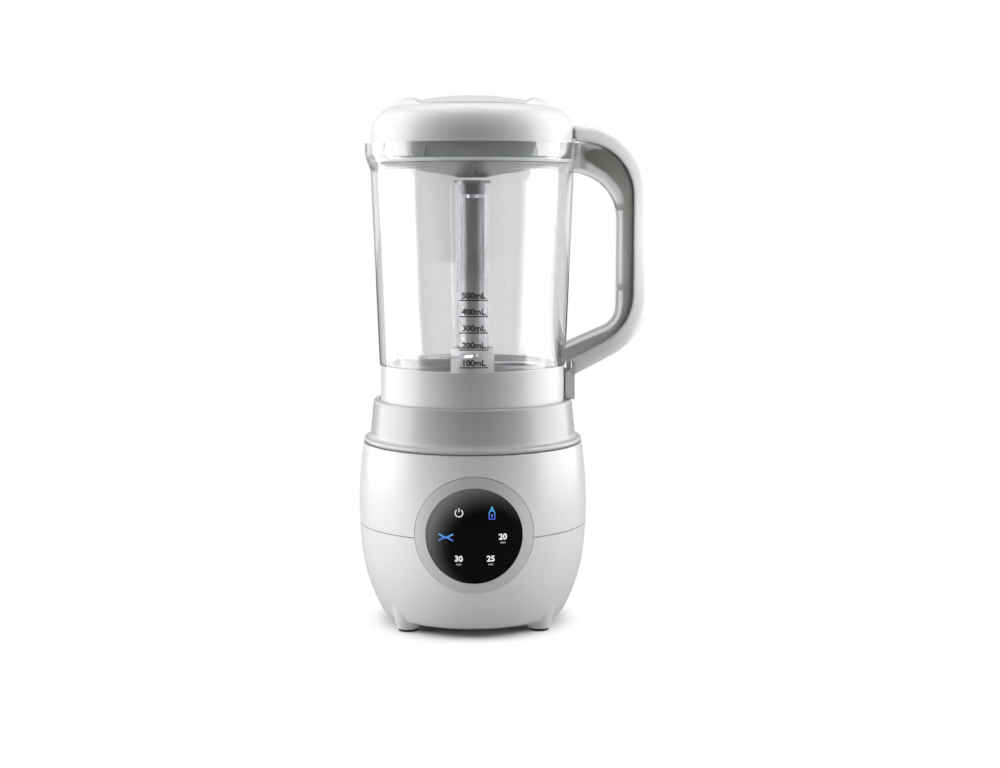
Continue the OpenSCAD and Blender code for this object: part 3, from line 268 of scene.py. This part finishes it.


# Painted sheen: a grey reflection painted into the display's colour, which grows with the distance
# from a point right of its middle and below it
PAINTED_SHEEN_FROM = from_axis(8 * MM, -71 * MM, DISPLAY_Z - 8 * MM)
PAINTED_SHEEN_START = 22 * MM
PAINTED_SHEEN_END = 41 * MM
PAINTED_SHEEN_POWER = 2
DISPLAY_BLACK = (0.002, 0.002, 0.0025)
DISPLAY_PAINTED_SHEEN = (0.30, 0.30, 0.31)
DISPLAY_GLOSS = 0.12


def display_black():
    """Black glass with a painted sheen: a grey reflection painted into its colour, which grows
    towards its upper left edge.
    """
    material, tree, shader = new_material()
    add_grain(tree, shader, rough=0.05, spread=0.01, bump=0.0, scale=200)
    shader.inputs["Specular IOR Level"].default_value = DISPLAY_GLOSS
    place = add_node(tree, "TexCoord").outputs["Object"]
    away = add_node(tree, "VectorMath", {0: place, 1: PAINTED_SHEEN_FROM}, operation="DISTANCE")
    inputs = {"From Min": PAINTED_SHEEN_START, "From Max": PAINTED_SHEEN_END, "Value": away.outputs["Value"]}
    ramp = add_node(tree, "MapRange", inputs).outputs["Result"]
    sheen = mix_colors(tree, DISPLAY_BLACK, DISPLAY_PAINTED_SHEEN, compute(tree, "POWER", ramp, PAINTED_SHEEN_POWER))
    tree.links.new(sheen, shader.inputs["Base Color"])
    return material


# Scales of the noise that draws fine lines, which run along the axes where the scale is lowest
UPRIGHT = (8, 8, 1)
LEVEL = (1, 1, 6)
STACKED = (1, 1, 30)
GROUND = (1, 8, 1)

# Painted shade: the lid's colour is darker below the jug's top, where it stands inside the rim
RIM_PAINTED_SHADE_SPAN = (JUG_TOP - 0.5 * MM, JUG_TOP + 0.2 * MM)
RIM_PAINTED_SHADE_SHARE = 0.3
# Painted light and shade on the jug's tube: a darker copy of the steel, painted lighter at its foot
# as a painted reflection of the jug's light floor, and darker above
TUBE_PAINTED_LIGHT_SPAN = (0.17, 0.225)
TUBE_FOOT_PAINTED_LIGHT = 0.72
TUBE_PAINTED_SHADE = 0.27
COVER_ROUNDING = 4 * MM
# Heights between which the colours of the bottle and the blades run
BOTTLE_SPAN = (0.0795, 0.0855)
BLADES_SPAN = (0.0665, 0.0705)

# Each has a base colour, a roughness and what differs from its recipe
materials = {
    # White lid with painted shade below the jug's top
    "lid_white": graded(solid((0.68, 0.68, 0.685), 0.32, coat=0.1, spread=0.02, bump=0.03, scale=500),
                        *RIM_PAINTED_SHADE_SPAN, RIM_PAINTED_SHADE_SHARE),
    "shell_white": solid((0.78, 0.78, 0.77), 0.32, coat=0.15, bump=0.04, scale=700),
    "jug_white": solid((0.82, 0.82, 0.825), 0.32, coat=0.15, spread=0.02, bump=0.03, scale=600),
    "cover_white": rounded(solid((0.74, 0.74, 0.75), 0.36, coat=0.1, bump=0.04), COVER_ROUNDING),
    # Painted shade: a darker copy of the white plastic for the docking collar
    "collar_white_painted_shade": solid((0.56, 0.56, 0.565), 0.3, coat=0.2, spread=0.02, bump=0.03, scale=600),
    # Painted shade: a darker copy of the white plastic for the lid's liner, seen inside the rim
    "liner_white_painted_shade": solid((0.24, 0.24, 0.24), 0.3, bump=0.03, scale=500),
    "clear_jug": clear((0.82, 0.825, 0.83), 0.01),
    "clear_frame": clear((0.66, 0.66, 0.65), 0.28),
    "clear_sleeve": clear((0.75, 0.75, 0.76), 0.15, ior=1.22),
    "silver": solid((0.74, 0.74, 0.75), 0.38, metallic=0.35, coat=0.2, bump=0.04, scale=1500),
    "glass": display_black(),
    "dark": solid((0.03, 0.03, 0.033), 0.5, bump=0.3),
    "rubber": solid((0.05, 0.052, 0.055), 0.7, bump=0.4),
    "silicone": solid((0.70, 0.72, 0.73), 0.45, bump=0.1),
    "grey": solid((0.72, 0.72, 0.70), 0.4, bump=0.1),
    "board": solid((0.03, 0.12, 0.05), 0.4, bump=0.2, scale=300),
    "steel": brushed((0.60, 0.61, 0.62), 0.3, LEVEL),
    "stainless": brushed((0.70, 0.71, 0.72), 0.25, UPRIGHT),
    # Painted shade and painted light: darker steel with a lighter foot
    "tube_steel": graded(brushed((TUBE_PAINTED_SHADE, TUBE_PAINTED_SHADE, TUBE_PAINTED_SHADE), 0.5, UPRIGHT),
                         *TUBE_PAINTED_LIGHT_SPAN, TUBE_FOOT_PAINTED_LIGHT / TUBE_PAINTED_SHADE),
    # Painted shade: a darker copy of the steel for the sleeve's hub
    "hub_steel_painted_shade": brushed((0.18, 0.18, 0.185), 0.45, UPRIGHT),
    # Painted shade for the dark sheets inside the handle's channel
    "painted_shade_sheet": solid((0.06, 0.058, 0.045), 0.5, bump=0.1),
    "blade": brushed((0.74, 0.75, 0.76), 0.18, GROUND),
    "alloy": solid((0.5, 0.5, 0.51), 0.45, metallic=1, bump=0.3, scale=300),
    "bronze": solid((0.45, 0.32, 0.16), 0.4, metallic=1, bump=0.2),
    "iron": brushed((0.28, 0.29, 0.30), 0.4, STACKED),
    "copper": brushed((0.62, 0.30, 0.15), 0.35, STACKED),
    "lit_white": glow((0.95, 0.97, 1.0), 0.95),
    "lit_dim": glow((0.8, 0.85, 0.9), 0.55),
    "lit_blue": glow_ramp((0.08, 0.12, 0.75), (0.1, 0.6, 0.95), *BOTTLE_SPAN),
    "lit_cyan": glow_ramp((0.08, 0.2, 0.75), (0.12, 0.55, 0.85), *BLADES_SPAN),
    "ink": solid((0.01, 0.01, 0.01), 0.5, bump=0.1),
}
for title, surface in materials.items():
    surface.name = title

NODE_MATERIALS = {
    "lid_white": ["lid_shell"],
    "liner_white_painted_shade": ["lid_liner"],
    "shell_white": ["lower_housing", "upper_housing"],
    "collar_white_painted_shade": ["docking_collar"],
    "jug_white": ["jug_skirt", "blade_collar"],
    "cover_white": ["handle_cover"],
    "clear_jug": ["jug_bowl"],
    "clear_frame": ["handle_frame"],
    "clear_sleeve": ["blade_sleeve"],
    "silver": ["display_bezel"],
    "glass": ["display_glass"],
    "dark": ["bottom_cover", "board_parts", "interlock_switch", "cooling_fan"],
    "rubber": ["rubber_feet", "cord_gland"],
    "silicone": ["jug_seal", "lid_seal"],
    "grey": ["interlock_slider"],
    "board": ["display_board", "power_board"],
    "steel": ["cover_screws", "motor_mount", "motor_bracket", "motor_screws", "interlock_plunger",
              "handle_screws", "interlock_spring"],
    "stainless": ["steam_dish", "thermostat", "drive_spindle"],
    "hub_steel_painted_shade": ["sleeve_hub"],
    "tube_steel": ["jug_tube"],
    "blade": ["chopping_blades"],
    "alloy": ["heating_ring", "spindle_coupling"],
    "bronze": ["spindle_bush"],
    "iron": ["motor_stator"],
    "copper": ["motor_rotor"],
}


def put_on(mesh, name):
    """Gives a mesh one material and no other."""
    mesh.materials.clear()
    mesh.materials.append(materials[name])


def dress_nodes():
    """Puts the materials on the CAD nodes."""
    for name, members in NODE_MATERIALS.items():
        for member in members:
            put_on(nodes[member].data, name)


# ------------------------------------------------------------------ drawing

PRINT_GAP = 0.06 * MM
SCREEN_GAP = 0.04 * MM
LETTER_STEPS = 6
# Keeps a mitre short at a sharp corner: the least that a line's half width is divided by
MITRE_LEAST = 0.4


def piece(name, mesh, material, body):
    """A new piece of the object that rides on a body."""
    put_on(mesh, material)
    made = link(bpy.data.objects.new(name, mesh))
    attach(made, body)


def surface_of(node):
    """The CAD node's skin, for finding where a flat mark lies on it."""
    mesh = nodes[node].data
    return BVHTree.FromPolygons([v.co for v in mesh.vertices], [p.vertices for p in mesh.polygons])


def drape(mesh, skin, x, z, gap):
    """Lays a flat drawing, x across and y up, on the front of a skin about a point."""
    for vertex in mesh.vertices:
        start = Vector((x + vertex.co.x, -1, z + vertex.co.y))
        hit = skin.ray_cast(start, Vector((0, 1, 0)))[0]
        vertex.co = hit + Vector((0, -gap, 0))


def finished_mesh(shape):
    """Turns a bmesh into a mesh and frees it."""
    mesh = bpy.data.meshes.new("drawing")
    shape.to_mesh(mesh)
    shape.free()
    return mesh


def text_mesh(text, size, weight, width=1.0):
    """Flat letters as a mesh, centred on x, standing on y = 0."""
    curve = bpy.data.curves.new("letters", "FONT")
    curve.body = text
    curve.size = size
    curve.offset = weight
    curve.align_x = "CENTER"
    curve.resolution_u = LETTER_STEPS
    holder = link(bpy.data.objects.new("letters", curve))
    bpy.context.view_layer.update()
    mesh = bpy.data.meshes.new_from_object(holder)
    bpy.data.objects.remove(holder)
    for vertex in mesh.vertices:
        vertex.co.x *= width
    return mesh


def strip_mesh(points, width, closed=False):
    """A flat line of even width through points, with mitred corners."""
    shape = bmesh.new()
    count = len(points)
    pairs = []
    for i, point in enumerate(points):
        before = points[i - 1] if i or closed else point
        after = points[(i + 1) % count] if i < count - 1 or closed else point
        way_in = (Vector(point) - Vector(before)).normalized() if before != point else None
        way_out = (Vector(after) - Vector(point)).normalized() if after != point else None
        way_in = way_in or way_out
        way_out = way_out or way_in
        way = (way_in + way_out).normalized()
        side = Vector((-way.y, way.x)) * width / 2 / max(MITRE_LEAST, way.dot(way_in))
        pairs.append([shape.verts.new((*(Vector(point) + sign * side), 0)) for sign in (-1, 1)])
    for i in range(count if closed else count - 1):
        a, b = pairs[i], pairs[(i + 1) % count]
        shape.faces.new((a[0], b[0], b[1], a[1]))
    return finished_mesh(shape)


def arc_points(r, low, high, steps, x=0.0, y=0.0):
    """Points along an arc between two angles in degrees, about a centre."""
    angles = [math.radians(low + (high - low) * i / steps) for i in range(steps + 1)]
    return [(x + r * math.cos(angle), y + r * math.sin(angle)) for angle in angles]


def in_mm(points):
    """Points that were given in millimetres."""
    return [(x * MM, y * MM) for x, y in points]


def joined(meshes):
    """Several drawings as one mesh."""
    shape = bmesh.new()
    for mesh in meshes:
        shape.from_mesh(mesh)
    return finished_mesh(shape)


# ------------------------------------------------------------------ printing

# Each graduation's volume in millilitres and its height
GRADUATIONS = ((500, 0.2097), (400, 0.1999), (300, 0.1900), (200, 0.1796), (100, 0.1688))
LINE_W = 17.2 * MM
LINE_H = 0.7 * MM
LINE_STEPS = 12
NUMBER_SIZE = 5.0 * MM
NUMBER_RISE = 1.2 * MM
NUMBER_WEIGHT = 0.18 * MM
NUMBER_WIDTH = 1.04
# The small triangle below the jug's rim, and its place right of the axis and below the rim
MARK = ((-1.3 * MM, 0), (1.3 * MM, 0), (0, 2.2 * MM))
MARK_LINE_W = 0.3 * MM
MARK_X = 1.2 * MM
MARK_DEPTH = 19.4 * MM


def add_graduations():
    """Prints the scale and the alignment mark on the front of the jug."""
    skin = surface_of("jug_bowl")

    def stamp(name, mesh, across, z):
        drape(mesh, skin, AXIS_X + across, z, PRINT_GAP)
        piece(name, mesh, "ink", "jug")

    line = [(LINE_W * (i / LINE_STEPS - 0.5), 0) for i in range(LINE_STEPS + 1)]
    for volume, z in GRADUATIONS:
        stamp(f"graduation_line_{volume}", strip_mesh(line, LINE_H), 0, z)
        number = text_mesh(f"{volume}mL", NUMBER_SIZE, NUMBER_WEIGHT, NUMBER_WIDTH)
        stamp(f"graduation_number_{volume}", number, 0, z + NUMBER_RISE)
    mark = strip_mesh(MARK, MARK_LINE_W, closed=True)
    stamp("alignment_mark", mark, MARK_X, JUG_TOP - MARK_DEPTH)


# ------------------------------------------------------------------ handle

# The handle's bends: radius of the cover's outer face, and the height between their centres
BEND_R = 44 * MM
BEND_SPACING = 61.6 * MM
# Painted shade: dark sheets inside the handle's channel, where its hollow is in shadow
SHADE_SHEET_OUT_R = 33.5 * MM
SHADE_SHEET_W = 2.4 * MM
SHADE_SHEET_T = 1.0 * MM
SHADE_SHEET_GAP = 0.1 * MM
CHANNEL_HALF_W = 6.8 * MM
# Where the shade sheets' arcs start on the upper bend and end on the lower one, in degrees
SHADE_SHEET_START = 60
SHADE_SHEET_END = -38
UPPER_STEPS = 12
LOWER_STEPS = 8
# Lower side of the shade sheets where they widen under the jug's rim, as the shadow there does: x
# from the axis and depth below the rim, in millimetres
SHADE_SHEET_WEDGE = ((96.5, 33.0), (91.6, 24.5), (83.9, 17.4), (76.0, 12.5), (71.0, 9.8), (71.0, 5.0),
                (76.0, 3.8))


def prism(outline, y, thickness):
    """A flat outline of x and z as a plate from y to y plus its thickness."""
    shape = bmesh.new()
    face = shape.faces.new([shape.verts.new((x, y, z)) for x, z in outline])
    made = bmesh.ops.extrude_face_region(shape, geom=[face])
    moved = [v for v in made["geom"] if isinstance(v, bmesh.types.BMVert)]
    bmesh.ops.translate(shape, verts=moved, vec=(0, thickness, 0))
    bmesh.ops.recalc_face_normals(shape, faces=shape.faces)
    return finished_mesh(shape)


def add_channel_lining():
    """Painted shade: dark plates inside the clear handle frame, one on each side of the slider, put
    where the channel is in shadow.
    """
    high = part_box("handle_cover")[1]
    bend_x = high.x - BEND_R
    upper_z = high.z - BEND_R
    lower_z = upper_z - BEND_SPACING
    outline = arc_points(SHADE_SHEET_OUT_R, SHADE_SHEET_START, 0, UPPER_STEPS, bend_x, upper_z)
    outline += arc_points(SHADE_SHEET_OUT_R, 0, SHADE_SHEET_END, LOWER_STEPS, bend_x, lower_z)
    outline += arc_points(SHADE_SHEET_OUT_R - SHADE_SHEET_W, SHADE_SHEET_END, 0, LOWER_STEPS, bend_x, lower_z)
    outline += [(AXIS_X + x * MM, JUG_TOP - depth * MM) for x, depth in SHADE_SHEET_WEDGE]
    front = -CHANNEL_HALF_W + SHADE_SHEET_GAP
    rear = CHANNEL_HALF_W - SHADE_SHEET_T - SHADE_SHEET_GAP
    for name, y in (("front", front), ("rear", rear)):
        plate = prism(outline, y, SHADE_SHEET_T)
        piece(f"channel_shade_sheet_{name}", plate, "painted_shade_sheet", "jug")


# ------------------------------------------------------------------ display

# One pixel of the photograph at the display, which the symbols' places are given in
PIXEL = 0.592 * MM
POWER_RING_R = 2.3 * MM
POWER_RING_ENDS = (125, 415)
POWER_RING_STEPS = 28
POWER_BAR = ((0, 0.7 * MM), (0, 3.1 * MM))
POWER_LINE_W = 0.55 * MM
# The bottle, in millimetres from its middle
BOTTLE_BODY = ((-1.7, -3.2), (1.7, -3.2), (1.7, 0.7), (1.0, 1.9), (-1.0, 1.9), (-1.7, 0.7))
BOTTLE_TEAT = ((-0.8, 2.3), (0, 4.0), (0.8, 2.3))
BOTTLE_DROP = ((0, -2.1), (0, -0.3))
BOTTLE_LINE_W = 0.6 * MM
DROP_W = 0.9 * MM
# One of the four blades: its bend and its tip from the symbol's middle
BLADE_BEND = (1.6 * MM, 0.5 * MM)
BLADE_TIP = (4.4 * MM, 2.0 * MM)
BLADE_LINE_W = 0.95 * MM
# Each time in minutes, with the pixels across and up to it from the display's middle
TIMES = ((20, 29.3, -3.4), (30, -16.0, -26.0), (25, 16.9, -26.0))
TIME_SIZE = 5.0 * MM
TIME_WEIGHT = 0.14 * MM
UNIT_SIZE = 2.1 * MM
UNIT_WEIGHT = 0.03 * MM
UNIT_DROP = 4.2


def add_display():
    """Lit symbols on the round glass, placed in pixels from the display's middle."""
    skin = surface_of("display_glass")

    def show(name, mesh, material, across, up):
        drape(mesh, skin, AXIS_X + across * PIXEL, DISPLAY_Z + up * PIXEL, SCREEN_GAP)
        piece(name, mesh, material, "base")

    ring = strip_mesh(arc_points(POWER_RING_R, *POWER_RING_ENDS, POWER_RING_STEPS), POWER_LINE_W)
    bar = strip_mesh(POWER_BAR, POWER_LINE_W)
    show("power_symbol", joined([ring, bar]), "lit_white", -15.6, 24.5)

    body = strip_mesh(in_mm(BOTTLE_BODY), BOTTLE_LINE_W, closed=True)
    teat = strip_mesh(in_mm(BOTTLE_TEAT), BOTTLE_LINE_W)
    drop = strip_mesh(in_mm(BOTTLE_DROP), DROP_W)
    show("bottle_symbol", joined([body, teat, drop]), "lit_blue", 18.1, 23.5)

    blades = []
    for side in (-1, 1):
        for end in (-1, 1):
            bend, tip = [(side * x, end * y) for x, y in (BLADE_BEND, BLADE_TIP)]
            blades.append(strip_mesh([(0, 0), bend, tip], BLADE_LINE_W))
    show("blade_symbol", joined(blades), "lit_cyan", -29.1, -1.0)

    for minutes, across, up in TIMES:
        digits = text_mesh(str(minutes), TIME_SIZE, TIME_WEIGHT)
        show(f"time_{minutes}", digits, "lit_white", across, up)
        unit = text_mesh("min", UNIT_SIZE, UNIT_WEIGHT)
        show(f"unit_{minutes}", unit, "lit_dim", across, up - UNIT_DROP)


# ------------------------------------------------------------------ lamps

# The soft boxes at both sides: side, name, radiance and front edge
SIDE_BOXES = ((-1, "left", 7.0, -0.235), (1, "right", 5.8, -0.30))
BOX_DISTANCE = 0.78
BOX_BACK = 0.21
BOX_H = 0.7
BOX_Z = 0.27
BOX_AIM_Z = 0.25
# The taller boxes there, which show in the gloss; their lean is in degrees
GLOSS_SIZE = (1.0, 1.5)
GLOSS_Y = 0.16
GLOSS_Z = 0.60
GLOSS_AIM_Y = 0.08
GLOSS_RADIANCE = 3.0
GLOSS_LEAN = 4
# Name, width, height, place and target from the foot of the axis, and radiance; the strip's light
# spreads by an angle in degrees
TOP_BOX = ("top_box", 0.7, 0.7, (0, 0.15, 1.0), (0, 0.05, 0.3), 3.0)
HANDLE_STRIP = ("handle_strip", 0.05, 0.13, (0.30, -0.55, 0.25), (0.1, 0, 0.25), 1.4)
STRIP_SPREAD = 14

LAMP_WHITE = (1, 1, 1)
LAMP_WARM = (1.0, 0.965, 0.90)
BARREL_AIM = (0, 0, 43 * MM)
LID_AIM = (0, 0, 305 * MM)
# Name, place and target from the foot of the axis, watts, angle in degrees and colour
BEAMS = (
    ("barrel_left", (-0.42, -1, 0.04), BARREL_AIM, 23, 8.8, LAMP_WHITE),
    ("barrel_right", (0.34, -1, 0.04), BARREL_AIM, 6, 8.8, LAMP_WARM),
    ("lid_left", (-0.8, -0.8, 0.9), LID_AIM, 9, 8, LAMP_WHITE),
    ("lid_right", (0.8, -0.8, 0.9), LID_AIM, 9, 8, LAMP_WHITE),
    ("lid_front", (0, -0.75, 1.15), LID_AIM, 10, 8.5, LAMP_WHITE),
)
BEAM_BLEND = 0.45
BEAM_SOURCE_R = 0.08


def aimed(name, data, place, target, lean=0.0):
    """A lamp that points from a place at a target; lean turns it in its own plane, in degrees."""
    lamp = link(bpy.data.objects.new(name, data))
    lamp.location = from_axis(*place)
    way = Vector(from_axis(*target)) - Vector(from_axis(*place))
    aim = way.to_track_quat("-Z", "Y").to_matrix()
    lamp.rotation_euler = (aim @ Matrix.Rotation(math.radians(lean), 3, "Z")).to_euler()
    return lamp


def area_light(name, width, height, place, target, radiance, lean=0.0):
    """A soft box of a given brightness."""
    data = bpy.data.lights.new(name, "AREA")
    data.shape = "RECTANGLE"
    data.size = width
    data.size_y = height
    data.energy = radiance * math.pi * width * height
    return aimed(name, data, place, target, lean)


def spot_light(name, place, target, watts, angle, color):
    """A soft-edged beam that lights without showing in the gloss."""
    data = bpy.data.lights.new(name, "SPOT")
    data.energy = watts
    data.spot_size = math.radians(angle)
    data.spot_blend = BEAM_BLEND
    data.shadow_soft_size = BEAM_SOURCE_R
    data.color = color
    aimed(name, data, place, target).visible_glossy = False


def make_lights():
    """Soft boxes at both sides and above, beams on the barrel and the lid, a strip on the handle."""
    for side, name, radiance, front in SIDE_BOXES:
        across = side * BOX_DISTANCE
        middle = (front + BOX_BACK) / 2
        lit = area_light(f"{name}_box", BOX_BACK - front, BOX_H, (across, middle, BOX_Z),
                         (0, middle, BOX_AIM_Z), radiance)
        lit.visible_glossy = False
        seen = area_light(f"{name}_gloss", *GLOSS_SIZE, (across, GLOSS_Y, GLOSS_Z),
                          (0, GLOSS_AIM_Y, GLOSS_Z), GLOSS_RADIANCE, -side * GLOSS_LEAN)
        seen.visible_diffuse = False
    area_light(*TOP_BOX)
    for beam in BEAMS:
        spot_light(*beam)
    strip = area_light(*HANDLE_STRIP)
    strip.data.spread = math.radians(STRIP_SPREAD)
    strip.visible_glossy = False


# ------------------------------------------------------------------ floor and world

FLOOR_REACH = 4
FLOOR_ROUGH = 0.9
# The floor's grey for light that bounces, and for the camera
FLOOR_LIT = (0.4, 0.4, 0.4)
FLOOR_SEEN = (0.92, 0.92, 0.92)
# Distances from the floor's middle between which it runs out into the white
FLOOR_FADE = (0.045, 0.072)

# The world's strength for light that bounces, for gloss to the front and straight to the rear, and
# for clear plastic straight behind; it is 1 elsewhere and for the camera
BOUNCE_STRENGTH = 0.03
FRONT_STRENGTH = 0.12
REAR_STRENGTH = 0.45
BEHIND_STRENGTH = 0.74
# Between what they fade: the direction's Y for gloss, and its X either way for clear plastic
FRONT_FADE = (-0.8, 0.1)
REAR_FADE = (0.85, 0.97)
BEHIND_FADE = (0.0, 0.045)


def make_floor():
    """A pale floor that keeps the contact shadow and runs out into the white background."""
    r = FLOOR_REACH
    mesh = bpy.data.meshes.new("floor")
    mesh.from_pydata([(-r, -r, 0), (r, -r, 0), (r, r, 0), (-r, r, 0)], [], [(0, 1, 2, 3)])
    floor = link(bpy.data.objects.new("floor", mesh))
    floor.location.x = AXIS_X
    material, tree, shader = new_material("floor")
    shader.inputs["Roughness"].default_value = FLOOR_ROUGH
    shader.inputs["Specular IOR Level"].default_value = 0
    pale = mix_colors(tree, FLOOR_LIT, FLOOR_SEEN, ray_kind(tree, "Is Camera Ray"))
    tree.links.new(pale, shader.inputs["Base Color"])
    place = add_node(tree, "TexCoord").outputs["Object"]
    away = add_node(tree, "VectorMath", {0: place}, operation="LENGTH").outputs["Value"]
    fade = smooth_ramp(tree, away, *FLOOR_FADE)
    seen = ray_kind(tree, "Is Camera Ray", "Is Transmission Ray")
    white = add_node(tree, "Emission").outputs["Emission"]
    mix_shaders(tree, shader.outputs["BSDF"], white, compute(tree, "MULTIPLY", fade, seen))
    mesh.materials.append(material)


def make_world():
    """White to the camera. Gloss sees it dimmer in front, clear plastic dimmer behind the middle."""
    world = bpy.data.worlds.new("studio")
    bpy.context.scene.world = world
    world.use_nodes = True
    tree = world.node_tree
    background = tree.nodes["Background"]
    background.inputs["Color"].default_value = (1, 1, 1, 1)
    coords = add_node(tree, "TexCoord")
    way = add_node(tree, "SeparateXYZ", {"Vector": coords.outputs["Generated"]}).outputs
    gloss = smooth_ramp(tree, way["Y"], *FRONT_FADE, FRONT_STRENGTH)
    gloss = blend(tree, gloss, REAR_STRENGTH, smooth_ramp(tree, way["Y"], *REAR_FADE))
    across = compute(tree, "ABSOLUTE", way["X"])
    behind = smooth_ramp(tree, across, *BEHIND_FADE, BEHIND_STRENGTH)
    strength = blend(tree, BOUNCE_STRENGTH, gloss, ray_kind(tree, "Is Glossy Ray"))
    strength = blend(tree, strength, behind, ray_kind(tree, "Is Transmission Ray"))
    strength = blend(tree, strength, 1.0, ray_kind(tree, "Is Camera Ray"))
    tree.links.new(strength, background.inputs["Strength"])


# ------------------------------------------------------------------ build

MOST_BOUNCES = 16

make_camera()
dress_nodes()
add_graduations()
add_display()
add_channel_lining()
make_floor()
make_world()
make_lights()
scene = bpy.context.scene
scene.view_settings.view_transform = "Standard"
scene.cycles.max_bounces = MOST_BOUNCES
scene.cycles.transmission_bounces = MOST_BOUNCES
scene.cycles.transparent_max_bounces = MOST_BOUNCES
